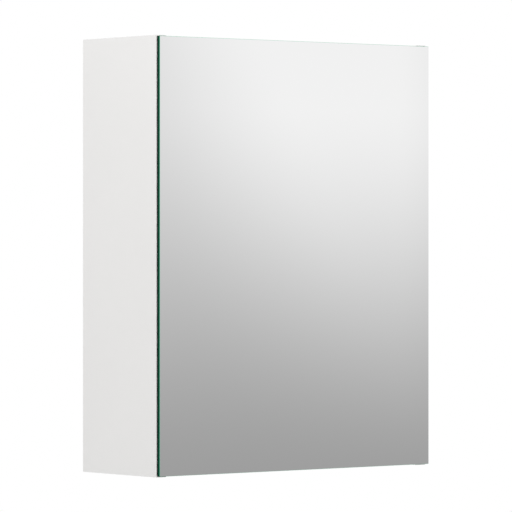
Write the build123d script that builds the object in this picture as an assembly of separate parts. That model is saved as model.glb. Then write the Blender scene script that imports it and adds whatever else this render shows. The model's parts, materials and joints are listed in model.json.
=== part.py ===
from build123d import *
import cmath
import math
import os

# A wall-hung mirror cabinet with one frameless mirror door on two concealed hinges.
# Millimetres. X runs to the right, the front faces -Y, the wall is the plane y = 0, and Z is up.
# The origin is on the wall plane, in the middle of the upper rear rail that the cabinet hangs by.

# Carcass boards
cabinet_width = 450.0
cabinet_height = 556.0
cabinet_depth = 155.0
board_thickness = 16.0
board_edge_round = 0.8
end_inset = 1.0

# Back panel and the two rails behind it
rail_height = 60.0
rail_thickness = 16.0
back_thickness = 4.0
groove_depth = 8.0
groove_clearance = 0.1
groove_end_clearance = 0.5

# Holes for the two securing screws in the lower rail
wall_hole_diameter = 5.5
wall_hole_spacing = 350.0

# Mirror door: two panes bonded back to back
door_side_margin = 0.5
door_end_margin = 1.15
door_gap = 0.8
pane_thickness = 3.0
film_thickness = 0.2
film_setback = 1.0
glass_arris = 0.4

# Door bumpers on the front edge of the side panel that the door closes against
bumper_diameter = 8.0
bumper_thickness = 0.5
bumper_end_distance = 30.0

# Glass shelves and their pins
shelf_count = 2
shelf_thickness = 5.0
shelf_depth = 115.0
shelf_side_clearance = 1.0
shelf_back_clearance = 2.0
shelf_arris = 0.5
shelf_rest_gap = 0.05
pin_diameter = 5.0
pin_insert_length = 9.0
pin_collar_diameter = 7.0
pin_collar_thickness = 1.2
pin_nose_length = 7.0
pin_row_setback = 37.0
sleeve_wall = 1.1
sleeve_length = 6.0
shelf_hole_pitch = 32.0
shelf_hole_spare_steps = 1
blind_hole_extra = 1.0
pin_sides = 12
peg_clearance = 0.05

# Knock-down fittings between the sides and the top and bottom panels
dowel_diameter = 8.0
dowel_length = 30.0
dowel_depth_in_side = 10.0
dowel_end_chamfer = 0.8
dowel_sides = 10
cam_diameter = 15.0
cam_sides = 18
cam_bore_depth = 12.5
cam_end_distance = 24.0
cam_cap_thickness = 1.0
cam_cap_gap = 0.2
cam_front_setback = 35.0
cam_rear_setback = 45.0
cam_bolt_diameter = 6.0
cam_bolt_stem_diameter = 3.0
cam_bolt_head_diameter = 4.5
cam_bolt_sides = 10
cam_bolt_head_length = 3.0
cam_bolt_thread_diameter = 5.0
cam_bolt_thread_length = 11.0
fitting_clearance = 0.1

# Wall hangers in the upper rear corners
hanger_case_width = 17.0
hanger_case_depth = 38.0
hanger_case_height = 48.0
hanger_case_top_gap = 3.0
hanger_hook_thickness = 2.5
hanger_hook_height = 26.0
hanger_hook_drop = 18.0
hanger_hook_seat_depth = 26.0
hanger_tongue_height = 17.0
hanger_tongue_wall_gap = 1.5
hanger_lip_thickness = 3.0
hanger_notch_width = 4.5
hanger_notch_height = 10.0
hanger_window_margin = 4.0
hanger_rail_notch_width = 42.0
hanger_rail_notch_top = 16.0
hanger_slot_clearance = 0.2
hanger_screw_diameter = 6.0
hanger_screw_length = 9.0
hanger_screw_pitch = 16.0
hanger_screw_slot = 1.2
hanger_fixing_head_diameter = 8.0
hanger_fixing_head_height = 2.4
hanger_fixing_shank_diameter = 4.0
hanger_fixing_depth = 11.0
hanger_fixing_from_front = 6.0
hanger_fixing_pitch = 38.0
hanger_cover_wall = 1.2
hanger_cover_clearance = 0.3

# Concealed hinges: where they stand
hinge_end_distance = 98.0
hinge_plate_setback = 57.0

# Concealed hinges: the linkage, seen from above
# Angles are counted anticlockwise from +X with the door closed.
cup_pivot_from_edge = 20.0
cup_pivot_from_glass = 9.2
outer_link_length = 27.6
outer_link_angle = 7.0
cup_pivot_spacing = 6.0
cup_pivot_spacing_angle = 102.0
door_turn_on_link = 174.0
outer_link_share = -0.46
inner_link_share = -0.33
fit_steps = 60
fit_rounds = 60

# Concealed hinges: layers across their height, each side of the middle
lug_half = 1.4
inner_plate_low = 1.8
inner_plate_high = 3.6
outer_plate_low = 4.6
outer_plate_high = 6.4
cheek_low = 6.8
cheek_high = 8.6
cup_cheek_high = 12.0

# Concealed hinges: pins and link ends
link_pin_radius = 1.5
lug_pin_radius = 1.2
running_clearance = 0.05
open_pivot_margin = 0.2
link_end_radius = 3.7
link_hub_radius = 4.0
inner_end_wall = 1.6
stub_pin_gap = 0.2
pin_end_proud = 0.3

# Concealed hinges: arm
arm_depth = 19.0
arm_length = 46.0
arm_panel_gap = 3.0
arm_wall_across = 1.7
arm_wall_along = 1.2
arm_tip_radius = 4.2
arm_root_radius = 6.8
arm_knee_radius = 4.5
arm_knee_x_from_front_pivot = 2.5
arm_knee_y_from_front_pivot = 22.5
arm_shoulder_radius = 7.0
arm_screw_diameter = 6.0
arm_screw_slot = 1.2
arm_screw_slot_length = 4.8
arm_screw_pitch = 22.0
arm_screw_proud = 0.8
arm_screw_in_plate = 1.7
arm_cover_thickness = 1.6
arm_cover_lip = 0.8

# Concealed hinges: mounting plate on the side panel
plate_wing_thickness = 2.0
plate_wing_reach = 24.0
plate_wing_width = 14.0
plate_wing_corner = 4.6
plate_body_length = 34.0
plate_side_clearance = 0.4
plate_screw_pitch = 32.0
plate_screw_diameter = 5.0
plate_screw_depth = 11.0
plate_screw_head_diameter = 8.0
plate_screw_head_height = 2.2
plate_screw_head_chamfer = 1.0
screw_shank_sides = 10

# Concealed hinges: cup and the plate bonded to the glass
bond_plate_thickness = 1.5
bond_plate_inner_reach = 36.0
bond_plate_half_height = 25.0
bond_plate_corner = 5.0
bond_plate_notch_half = 10.5
bond_plate_notch_reach = 16.5
cup_floor_thickness = 1.3
cup_inner_reach = 13.5
cup_outer_reach = 3.2
cup_cheek_height = 14.2
cup_cheek_corner = 3.5
cup_flange_half = 22.0
cup_flange_thickness = 2.0
cup_lug_radius = 2.8
cup_lug_foot = 9.0
cup_screw_from_middle = 17.0
cup_screw_diameter = 4.0
cup_screw_head_diameter = 7.0
cup_screw_head_height = 2.0

# How far a cutting solid runs past the face that it opens
cut_overrun = 1.0

# Places that follow from the sizes above
half_width = cabinet_width / 2
inner_x = half_width - board_thickness
roof_z = rail_height / 2
top_z = roof_z + board_thickness + end_inset
bottom_z = top_z - cabinet_height
floor_z = bottom_z + end_inset + board_thickness
front_y = -cabinet_depth
rail_front_y = -rail_thickness
back_front_y = rail_front_y - back_thickness
door_rear_y = front_y - door_gap
rear_pane_front_y = door_rear_y - pane_thickness
front_pane_rear_y = rear_pane_front_y - film_thickness
door_front_y = front_pane_rear_y - pane_thickness
door_right_x = half_width - door_side_margin
sleeve_radius = pin_diameter / 2 + sleeve_wall
shelf_step = (roof_z - floor_z) / (shelf_count + 1)
shelf_bottoms = [floor_z + shelf_step * (i + 1) - shelf_thickness / 2 for i in range(shelf_count)]
shelf_rear_y = back_front_y - shelf_back_clearance
shelf_front_y = shelf_rear_y - shelf_depth
pin_rows_y = [shelf_rear_y - pin_row_setback / 2, shelf_front_y + pin_row_setback / 2]
hinge_heights = [bottom_z + hinge_end_distance, top_z - hinge_end_distance]
cam_rows_y = [front_y + cam_front_setback, -cam_rear_setback]
dowel_y = sum(cam_rows_y) / 2
plate_y = front_y + hinge_plate_setback


def plan_point(start, length, angle):
    """A point at a distance and an angle in degrees from another, as a complex number."""
    return start + cmath.rect(length, math.radians(angle))


def fit_inner_link(path, turns):
    """Where the inner link pivots on the arm, its closed direction, and its worst miss at the cup.

    The inner link turns at a fixed share of the door's turn. Its arm pivot and its length are the
    pair whose end stays nearest to the path of the cup's second pivot: a straight-line fit, with
    each step weighted up by its own miss until the largest misses are level.
    """
    weights = [1.0] * len(path)
    for _ in range(fit_rounds):
        total = sum(weights)
        mean_turn = sum(w * t for w, t in zip(weights, turns)) / total
        mean_path = sum(w * p for w, p in zip(weights, path)) / total
        spread = sum(w * abs(t - mean_turn) ** 2 for w, t in zip(weights, turns))
        shared = sum(
            w * (p - mean_path) * (t - mean_turn).conjugate() for w, p, t in zip(weights, path, turns)
        )
        arm = shared / spread
        pivot = mean_path - arm * mean_turn
        misses = [abs(pivot + arm * t - p) for t, p in zip(turns, path)]
        weights = [w * m for w, m in zip(weights, misses)]
        scale = sum(weights)
        weights = [w / scale for w in weights]
    return pivot, arm, max(misses)


# The four pivots of the linkage, as x + yi in the plan view
cup_outer_pivot = complex(door_right_x - cup_pivot_from_edge, door_rear_y + cup_pivot_from_glass)
arm_front_pivot = plan_point(cup_outer_pivot, -outer_link_length, outer_link_angle)
cup_inner_pivot = plan_point(cup_outer_pivot, cup_pivot_spacing, cup_pivot_spacing_angle)
travel = [door_turn_on_link * i / fit_steps for i in range(fit_steps + 1)]
door_turns = [(1 + outer_link_share) * t for t in travel]
outer_ends = [
    plan_point(arm_front_pivot, outer_link_length, outer_link_angle + outer_link_share * t) for t in travel
]
inner_ends = [
    plan_point(end, cup_pivot_spacing, cup_pivot_spacing_angle + turn)
    for end, turn in zip(outer_ends, door_turns)
]
inner_turns = [plan_point(0, 1, inner_link_share * t) for t in travel]
arm_rear_pivot, inner_link, open_pivot_miss = fit_inner_link(inner_ends, inner_turns)
inner_link_tip = arm_rear_pivot + inner_link
open_pivot_radius = lug_pin_radius + open_pivot_miss + open_pivot_margin


def block(x_low, x_high, y_low, y_high, z_low, z_high):
    """A box between two corners."""
    size = Box(x_high - x_low, y_high - y_low, z_high - z_low)
    return Pos((x_low + x_high) / 2, (y_low + y_high) / 2, (z_low + z_high) / 2) * size


def rod_x(radius, x_low, x_high, y, z):
    """A round bar along X."""
    bar = Rot(0, 90, 0) * Cylinder(radius, x_high - x_low)
    return Pos((x_low + x_high) / 2, y, z) * bar


def grip_x(radius, sides, x_low, x_high, y, z):
    """A many-sided bar along X, where the real piece has flutes or a thread to grip its bore."""
    bar = extrude(Plane.YZ * RegularPolygon(radius, sides), x_high - x_low)
    return Pos(x_low, y, z) * bar


def rod_y(radius, y_low, y_high, x, z):
    """A round bar along Y."""
    bar = Rot(90, 0, 0) * Cylinder(radius, y_high - y_low)
    return Pos(x, (y_low + y_high) / 2, z) * bar


def rod_z(radius, z_low, z_high, place):
    """An upright round bar at a plan point."""
    return Pos(place.real, place.imag, (z_low + z_high) / 2) * Cylinder(radius, z_high - z_low)


def mirrored(shape):
    """The same shape on the other side of the cabinet."""
    return mirror(shape, about=Plane.YZ)


def both_sides(shape):
    """A shape and its mirror image, side by side."""
    return [shape, mirrored(shape)]


def layer(outline, z_low, z_high):
    """A plan outline made solid between two heights."""
    return Pos(0, 0, z_low) * extrude(outline, z_high - z_low)


def both_layers(outline, z_inner, z_outer):
    """A plan outline made solid in two layers, one each side of the hinge's middle."""
    return [layer(outline, z_inner, z_outer), layer(outline, -z_outer, -z_inner)]


def disc(place, radius):
    """A circle in the plan view."""
    return Pos(place.real, place.imag) * Circle(radius)


def strap(place_a, radius_a, place_b, radius_b):
    """The outline of a flat bar with a round end about each of two plan points."""
    return make_hull(disc(place_a, radius_a).edges() + disc(place_b, radius_b).edges())


def at_hinges(parts):
    """Copies of a hinge piece, modelled about z = 0, at the height of each hinge."""
    copies = []
    for height in hinge_heights:
        for part in parts:
            copies.append(Pos(0, 0, height) * part)
    return copies


def lying_panel_middles():
    """Middle heights of the top and the bottom panel."""
    return [roof_z + board_thickness / 2, floor_z - board_thickness / 2]


def dowel_places():
    """Middle of each dowel at the right-hand corners: the height and the depth from the wall."""
    places = []
    for height in lying_panel_middles():
        places.append((height, dowel_y))
    for height in rail_heights():
        places.append((height, -rail_thickness / 2))
    return places


def rail_heights():
    """Middle heights of the upper and the lower rail's dowels."""
    upper = (roof_z + hanger_rail_notch_top) / 2
    lower = floor_z + rail_height / 2
    return [upper, lower]


def cam_places():
    """Middle of each cam bolt at the right-hand corners: the height and the depth from the wall."""
    places = []
    for height in lying_panel_middles():
        for depth in cam_rows_y:
            places.append((height, depth))
    return places


def right_side_panel(with_hinge_holes):
    """The right side panel with its groove and its borings; the left one is its mirror image."""
    panel = block(inner_x, half_width, front_y, 0, bottom_z, top_z)
    panel = fillet(panel.edges().filter_by(Axis.Z).group_by(Axis.Y)[0], board_edge_round)
    groove_low = floor_z - groove_depth
    groove_high = roof_z + groove_depth
    panel = panel - back_groove(inner_x - cut_overrun, inner_x + groove_depth, groove_low, groove_high)
    borings = [
        (dowel_diameter, dowel_depth_in_side, dowel_places()),
        (cam_bolt_thread_diameter, cam_bolt_thread_length, cam_places()),
        (pin_diameter, pin_insert_length, shelf_hole_places()),
        (hanger_fixing_shank_diameter, hanger_fixing_depth, hanger_fixing_places()),
    ]
    if with_hinge_holes:
        borings.append((plate_screw_diameter, plate_screw_depth, hinge_screw_places()))
    for diameter, peg_depth, places in borings:
        radius = diameter / 2 + peg_clearance
        reach = inner_x + peg_depth + blind_hole_extra
        for height, depth in places:
            panel = panel - rod_x(radius, inner_x - cut_overrun, reach, depth, height)
    return panel


def back_groove(x_low, x_high, z_low, z_high):
    """The space of the groove that holds the back panel."""
    y_low = back_front_y - groove_clearance
    y_high = rail_front_y + groove_clearance
    return block(x_low, x_high, y_low, y_high, z_low, z_high)


def hinge_screw_places():
    """Height and depth of the mounting plates' screws."""
    places = []
    for height in hinge_heights:
        places.append((height - plate_screw_pitch / 2, plate_y))
        places.append((height + plate_screw_pitch / 2, plate_y))
    return places


def shelf_hole_places():
    """Height and depth of every shelf pin hole in a side."""
    places = []
    for bottom in shelf_bottoms:
        for step in range(-shelf_hole_spare_steps, shelf_hole_spare_steps + 1):
            height = bottom - shelf_rest_gap - sleeve_radius + step * shelf_hole_pitch
            for depth in pin_rows_y:
                places.append((height, depth))
    return places


def lying_panel(z_low, z_high, cam_side):
    """The top or the bottom panel; cam_side is 1 where its cams are let in from above, else -1."""
    panel = block(-inner_x, inner_x, front_y, 0, z_low, z_high)
    middle = (z_low + z_high) / 2
    groove_start = z_low - groove_depth if cam_side > 0 else z_high - groove_depth
    panel = panel - back_groove(-inner_x, inner_x, groove_start, groove_start + 2 * groove_depth)
    face = z_high if cam_side > 0 else z_low
    bore_end = face - cam_side * cam_bore_depth
    cam_radius = cam_diameter / 2 + fitting_clearance
    bolt_radius = cam_bolt_diameter / 2 + fitting_clearance
    cam_x = inner_x - cam_end_distance
    past_end = inner_x + cut_overrun
    cuts = []
    for depth in cam_rows_y:
        cuts.append(rod_z(cam_radius, min(face, bore_end), max(face, bore_end), complex(cam_x, depth)))
        cuts.append(rod_x(bolt_radius, cam_x, past_end, depth, middle))
    start = inner_x - (dowel_length - dowel_depth_in_side) - blind_hole_extra
    cuts.append(rod_x(dowel_diameter / 2 + peg_clearance, start, past_end, dowel_y, middle))
    for cut in cuts:
        panel = panel - cut - mirrored(cut)
    return panel


def back_panel():
    """The thin back panel, held in the grooves on all four sides, with windows for the hooks."""
    x_edge = inner_x + groove_depth - groove_end_clearance
    z_low = floor_z - groove_depth + groove_end_clearance
    z_high = roof_z + groove_depth - groove_end_clearance
    panel = block(-x_edge, x_edge, back_front_y, rail_front_y, z_low, z_high)
    window = hook_window(back_front_y - cut_overrun, rail_front_y + cut_overrun)
    panel = panel - window - mirrored(window)
    for hole in wall_holes(back_front_y):
        panel = panel - hole
    return panel


def wall_holes(start):
    """The two holes for the securing screws, from a little in front of a plane to past the wall."""
    height = rail_heights()[1]
    edges = (-wall_hole_spacing / 2, wall_hole_spacing / 2)
    return [rod_y(wall_hole_diameter / 2, start - cut_overrun, cut_overrun, x, height) for x in edges]


def hook_top():
    """Height of the hook's upper edge."""
    return roof_z - hanger_hook_drop


def hook_x():
    """Middle of the right-hand hook plate across the cabinet."""
    return inner_x - hanger_case_width / 2


def hook_window(y_low, y_high):
    """The window that the hook's tongue passes through."""
    x_half = hanger_hook_thickness / 2 + hanger_window_margin
    z_high = hook_top() + hanger_window_margin
    z_low = hook_top() - hanger_tongue_height - hanger_window_margin
    return block(hook_x() - x_half, hook_x() + x_half, y_low, y_high, z_low, z_high)


def upper_rear_rail():
    """The rail that rests on the wall, cut away at both ends for the hooks and their wall plates."""
    rail = block(-inner_x, inner_x, rail_front_y, 0, roof_z - rail_height, roof_z)
    x_low = inner_x - hanger_rail_notch_width
    x_high = inner_x + cut_overrun
    y_low = rail_front_y - cut_overrun
    z_low = roof_z - rail_height - cut_overrun
    notch = block(x_low, x_high, y_low, cut_overrun, z_low, hanger_rail_notch_top)
    rail = rail - notch - mirrored(notch)
    return rail - rail_dowel_bores(rail_heights()[0])


def rail_dowel_bores(height):
    """The blind bores for the dowels in both ends of a rail."""
    start = inner_x - (dowel_length - dowel_depth_in_side) - blind_hole_extra
    radius = dowel_diameter / 2 + peg_clearance
    return both_sides(rod_x(radius, start, inner_x + cut_overrun, -rail_thickness / 2, height))


def lower_rear_rail():
    """The rail at the foot of the back, with the holes for the securing screws."""
    rail = block(-inner_x, inner_x, rail_front_y, 0, floor_z, floor_z + rail_height)
    for hole in wall_holes(rail_front_y):
        rail = rail - hole
    return rail - rail_dowel_bores(rail_heights()[1])


def wooden_dowels():
    """Dowels from the sides into the top, the bottom and the rails."""
    dowels = []
    for height, depth in dowel_places():
        x_high = inner_x + dowel_depth_in_side
        dowel = grip_x(dowel_diameter / 2, dowel_sides, x_high - dowel_length, x_high, depth, height)
        ends = dowel.edges().group_by(Axis.X)
        dowel = chamfer(ends[0] + ends[-1], dowel_end_chamfer)
        dowels.extend(both_sides(dowel))
    return dowels


def cam_bolts():
    """Bolts screwed into the sides, with a head that the cam draws in."""
    bolts = []
    for height, depth in cam_places():
        head_x = inner_x - cam_end_distance
        cam_edge_x = head_x + cam_diameter / 2
        sections = [
            (cam_bolt_head_diameter, head_x - cam_bolt_head_length / 2, head_x),
            (cam_bolt_stem_diameter, head_x, cam_edge_x),
            (cam_bolt_diameter, cam_edge_x, inner_x),
            (cam_bolt_thread_diameter, inner_x, inner_x + cam_bolt_thread_length),
        ]
        bars = [grip_x(width / 2, cam_bolt_sides, low, high, depth, height) for width, low, high in sections]
        bolts.extend(both_sides(bars[0] + bars[1] + bars[2] + bars[3]))
    return bolts


def cam_discs():
    """The eccentric discs in the top and bottom panels, slotted for the bolt's head."""
    discs = []
    for height, depth in cam_places():
        above = 1 if height > 0 else -1
        face = height + above * board_thickness / 2
        outer = face - above * (cam_cap_thickness + cam_cap_gap)
        inner = face - above * cam_bore_depth
        place = complex(inner_x - cam_end_distance, depth)
        rim = Pos(place.real, place.imag) * RegularPolygon(cam_diameter / 2, cam_sides)
        cam = layer(rim, min(outer, inner), max(outer, inner))
        throat = cam_bolt_head_diameter / 2 + fitting_clearance
        start = place.real - cam_bolt_head_length / 2 - fitting_clearance
        reach = place.real + cam_diameter / 2 + cut_overrun
        discs.extend(both_sides(cam - rod_x(throat, start, reach, depth, height)))
    return discs


def cam_caps():
    """White caps that close the cam bores flush with the board."""
    caps = []
    for height, depth in cam_places():
        above = 1 if height > 0 else -1
        face = height + above * board_thickness / 2
        under = face - above * cam_cap_thickness
        place = complex(inner_x - cam_end_distance, depth)
        caps.extend(both_sides(rod_z(cam_diameter / 2, min(face, under), max(face, under), place)))
    return caps


def glass_shelf(bottom):
    """One glass shelf with its edges ground."""
    x_edge = inner_x - shelf_side_clearance
    shelf = block(-x_edge, x_edge, shelf_front_y, shelf_rear_y, bottom, bottom + shelf_thickness)
    front_edges = shelf.edges().filter_by(Axis.X).group_by(Axis.Y)[0]
    return chamfer(front_edges, shelf_arris)


def shelf_pin_places():
    """Height and depth of the pins in use, under each shelf."""
    places = []
    for bottom in shelf_bottoms:
        for depth in pin_rows_y:
            places.append((bottom - shelf_rest_gap - sleeve_radius, depth))
    return places


def shelf_pins():
    """Turned metal pins in the sides, each with a collar against the board."""
    pins = []
    for height, depth in shelf_pin_places():
        nose_x = inner_x - pin_collar_thickness - pin_nose_length
        pin = grip_x(pin_diameter / 2, pin_sides, nose_x, inner_x + pin_insert_length, depth, height)
        pin = pin + rod_x(pin_collar_diameter / 2, inner_x - pin_collar_thickness, inner_x, depth, height)
        pins.extend(both_sides(pin))
    return pins


def shelf_pin_sleeves():
    """Clear sleeves on the pins, which the glass rests on."""
    sleeves = []
    for height, depth in shelf_pin_places():
        x_high = inner_x - pin_collar_thickness
        x_low = x_high - sleeve_length
        sleeve = rod_x(sleeve_radius, x_low, x_high, depth, height)
        sleeve = sleeve - rod_x(pin_diameter / 2, x_low, x_high, depth, height)
        sleeves.extend(both_sides(sleeve))
    return sleeves


def case_middle():
    """Middle height of the hanger cases."""
    return roof_z - hanger_case_top_gap - hanger_case_height / 2


def hanger_fixing_places():
    """Height and depth of the screws that hold a hanger case to its side."""
    depth = back_front_y - hanger_case_depth + hanger_fixing_from_front
    low = case_middle() - hanger_fixing_pitch / 2
    high = case_middle() + hanger_fixing_pitch / 2
    return [(low, depth), (high, depth)]


def hook_profile(margin):
    """The hook plate's outline, seen from the side, in y and z."""
    top = hook_top() + margin
    seat_y = back_front_y - hanger_hook_seat_depth - margin
    tip_y = -hanger_tongue_wall_gap
    lip_y = tip_y - hanger_lip_thickness
    notch_y = lip_y - hanger_notch_width
    tongue_z = hook_top() - hanger_tongue_height
    notch_z = tongue_z + hanger_notch_height
    low = hook_top() - hanger_hook_height - margin
    points = [
        (seat_y, low),
        (back_front_y, low),
        (back_front_y, tongue_z),
        (notch_y, tongue_z),
        (notch_y, notch_z),
        (lip_y, notch_z),
        (lip_y, tongue_z),
        (tip_y, tongue_z),
        (tip_y, top),
        (seat_y, top),
    ]
    return make_face(Polyline(*points, close=True))


def hanger_hooks():
    """Steel hook plates that reach through the back and drop over the wall plates."""
    plate = extrude(Plane.YZ * hook_profile(0), hanger_hook_thickness)
    plate = Pos(hook_x() - hanger_hook_thickness / 2, 0, 0) * plate
    return both_sides(plate)


def hanger_cases():
    """Cast cases screwed to the sides, slotted for the hook plates."""
    z_low = case_middle() - hanger_case_height / 2
    z_high = case_middle() + hanger_case_height / 2
    y_low = back_front_y - hanger_case_depth
    case = block(inner_x - hanger_case_width, inner_x, y_low, back_front_y, z_low, z_high)
    slot_half = hanger_hook_thickness / 2 + hanger_slot_clearance
    slot_y = back_front_y - hanger_hook_seat_depth - hanger_slot_clearance
    slot_low = hook_top() - hanger_hook_height - hanger_slot_clearance
    slot_high = hook_top() + hanger_slot_clearance
    case = case - block(hook_x() - slot_half, hook_x() + slot_half, slot_y, back_front_y, slot_low, slot_high)
    for screw in right_hanger_adjusting_screws(hanger_slot_clearance):
        case = case - screw
    for screw in right_hanger_fixing_screws(hanger_slot_clearance):
        case = case - screw
    return both_sides(case)


def right_hanger_adjusting_screws(margin):
    """The height and depth screws in the front of the right-hand case."""
    screws = []
    front = back_front_y - hanger_case_depth
    for step in (-1, 1):
        height = case_middle() + step * hanger_screw_pitch / 2
        end = front + hanger_screw_length
        screws.append(rod_y(hanger_screw_diameter / 2 + margin, front, end, hook_x(), height))
    return screws


def hanger_adjusting_screws():
    """All four adjusting screws, each with a slot."""
    screws = []
    for screw in right_hanger_adjusting_screws(0):
        box = screw.bounding_box()
        slot = hanger_screw_slot
        x_low = hook_x() - slot / 2
        cut = block(x_low, x_low + slot, box.min.Y, box.min.Y + slot, box.min.Z, box.max.Z)
        screws.extend(both_sides(screw - cut))
    return screws


def right_hanger_fixing_screws(margin):
    """The screws that hold the right-hand case to its side panel, or their bores if given a margin."""
    screws = []
    for height, depth in hanger_fixing_places():
        face = inner_x - hanger_case_width
        under_head = face + hanger_fixing_head_height
        head = rod_x(hanger_fixing_head_diameter / 2 + margin, face, under_head, depth, height)
        shank_end = inner_x + hanger_fixing_depth
        radius = hanger_fixing_shank_diameter / 2 + margin
        if margin:
            shank = rod_x(radius, under_head, shank_end, depth, height)
        else:
            shank = grip_x(radius, screw_shank_sides, under_head, shank_end, depth, height)
        screws.append(head + shank)
    return screws


def hanger_fixing_screws():
    """All four screws through the hanger cases."""
    screws = []
    for screw in right_hanger_fixing_screws(0):
        screws.extend(both_sides(screw))
    return screws


def hanger_covers():
    """White covers clipped over the hanger cases."""
    gap = hanger_cover_clearance
    wall = hanger_cover_wall
    x_low = inner_x - hanger_case_width - gap
    y_low = back_front_y - hanger_case_depth - gap
    z_low = case_middle() - hanger_case_height / 2 - gap
    z_high = case_middle() + hanger_case_height / 2 + gap
    shell = block(x_low - wall, inner_x, y_low - wall, back_front_y, z_low - wall, z_high + wall)
    shell = fillet(shell.edges().filter_by(Axis.Z).group_by(Axis.X)[0].group_by(Axis.Y)[0], wall)
    return both_sides(shell - block(x_low, inner_x, y_low, back_front_y, z_low, z_high))


def door_pane(y_low, y_high):
    """One mirror pane with ground edges."""
    z_low = bottom_z + door_end_margin
    z_high = top_z - door_end_margin
    pane = block(-door_right_x, door_right_x, y_low, y_high, z_low, z_high)
    return chamfer(pane.edges().filter_by(Axis.Y, reverse=True), glass_arris)


def door_bonding_film():
    """The film between the two panes, a little back from their edges."""
    x_edge = door_right_x - film_setback
    z_low = bottom_z + door_end_margin + film_setback
    z_high = top_z - door_end_margin - film_setback
    return block(-x_edge, x_edge, front_pane_rear_y, rear_pane_front_y, z_low, z_high)


def door_bumpers():
    """Clear bumpers on the left side panel's front edge."""
    bumpers = []
    x = -(inner_x + board_thickness / 2)
    for height in (bottom_z + bumper_end_distance, top_z - bumper_end_distance):
        bumpers.append(rod_y(bumper_diameter / 2, front_y - bumper_thickness, front_y, x, height))
    return bumpers


def arm_outline():
    """The hinge arm from above: a straight shank that cranks inwards to the two arm pivots."""
    knee = arm_front_pivot + complex(arm_knee_x_from_front_pivot, arm_knee_y_from_front_pivot)
    web_x = inner_x - arm_depth
    shank_front = plate_y - arm_length / 2
    shoulder = complex(web_x + arm_shoulder_radius, shank_front)
    shank_width = arm_depth - arm_panel_gap
    shank = Pos(web_x + shank_width / 2, plate_y) * Rectangle(shank_width, arm_length)
    tip = make_hull(
        disc(arm_front_pivot, arm_tip_radius).edges()
        + disc(arm_rear_pivot, arm_root_radius).edges()
        + disc(knee, arm_knee_radius).edges()
    )
    crank = strap(knee, arm_knee_radius, shoulder, arm_shoulder_radius)
    return shank + crank + tip


def arm_pin_bores():
    """The two pins' spaces in the arm."""
    reach = cheek_high + cut_overrun
    return [rod_z(link_pin_radius, -reach, reach, pivot) for pivot in (arm_front_pivot, arm_rear_pivot)]


def hinge_arms():
    """Pressed steel arms: two cheeks joined by a web on the side away from the panel."""
    outline = arm_outline()
    arm = layer(outline, -cheek_high, cheek_high)
    hollow = layer(Pos(arm_wall_across, -arm_wall_along) * outline, -cheek_low, cheek_low)
    arm = arm - hollow
    for bore in arm_pin_bores():
        arm = arm - bore
    for screw in arm_screws_at_middle():
        arm = arm - screw
    return at_hinges([arm])


def arm_screws_at_middle():
    """The side screw and the clamping screw of one arm."""
    screws = []
    web_x = inner_x - arm_depth
    for step in (-1, 1):
        depth = plate_y + step * arm_screw_pitch / 2
        reach = web_x + arm_wall_across + arm_screw_in_plate
        screws.append(rod_x(arm_screw_diameter / 2, web_x - arm_screw_proud, reach, depth, 0))
    return screws


def hinge_arm_screws():
    """Arm screws with a cross slot in each head."""
    screws = []
    slot = arm_screw_slot
    for screw in arm_screws_at_middle():
        box = screw.bounding_box()
        x_low = box.min.X
        y_low = box.center().Y - slot / 2
        reach = arm_screw_slot_length / 2
        across = block(x_low, x_low + slot, box.min.Y, box.max.Y, -slot / 2, slot / 2)
        upright = block(x_low, x_low + slot, y_low, y_low + slot, -reach, reach)
        screws.append(screw - across - upright)
    return at_hinges(screws)


def hinge_mounting_plates():
    """Mounting plates on the right side panel, with a body that the arm clips over."""
    wing = block(
        inner_x - plate_wing_thickness,
        inner_x,
        plate_y - plate_wing_width / 2,
        plate_y + plate_wing_width / 2,
        -plate_wing_reach,
        plate_wing_reach,
    )
    wing = fillet(wing.edges().filter_by(Axis.X), plate_wing_corner)
    half = cheek_low - plate_side_clearance
    body_top = inner_x - arm_depth + arm_wall_across
    body_front = plate_y - plate_body_length / 2
    body = block(body_top, inner_x, body_front, body_front + plate_body_length, -half, half)
    plate = wing + body
    for screw in arm_screws_at_middle():
        plate = plate - screw
    face = inner_x - plate_wing_thickness
    for height in (-plate_screw_pitch / 2, plate_screw_pitch / 2):
        plate = plate - rod_x(plate_screw_diameter / 2, face, inner_x, plate_y, height)
    return at_hinges([plate])


def hinge_plate_screws():
    """Screws that hold the mounting plates."""
    screws = []
    for height, depth in hinge_screw_places():
        face = inner_x - plate_wing_thickness
        head = rod_x(plate_screw_head_diameter / 2, face - plate_screw_head_height, face, depth, height)
        head = chamfer(head.edges().filter_by(GeomType.CIRCLE).group_by(Axis.X)[0], plate_screw_head_chamfer)
        shank_end = inner_x + plate_screw_depth
        shank = grip_x(plate_screw_diameter / 2, screw_shank_sides, face, shank_end, depth, height)
        screws.append(head + shank)
    return screws


def hinge_arm_covers():
    """Caps on the arms' webs that hide the screws."""
    web_x = inner_x - arm_depth
    half = cheek_high
    y_low = plate_y - arm_length / 2 + arm_shoulder_radius
    y_high = plate_y + arm_length / 2
    proud = arm_screw_proud + arm_cover_thickness
    cover = block(web_x - proud, web_x, y_low, y_high, -half, half)
    cover = fillet(cover.edges().filter_by(Axis.Y).group_by(Axis.X)[0], arm_cover_lip)
    inside = block(
        web_x - arm_screw_proud,
        web_x,
        y_low + arm_cover_lip,
        y_high - arm_cover_lip,
        -half + arm_cover_lip,
        half - arm_cover_lip,
    )
    return at_hinges([cover - inside])


def hinge_arm_pins_front():
    """Stub pins riveted into the arms' cheeks, which leave the middle free for the inner links."""
    low = outer_plate_low - stub_pin_gap
    high = cheek_high + pin_end_proud
    return at_hinges(both_layers(disc(arm_front_pivot, link_pin_radius), low, high))


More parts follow.
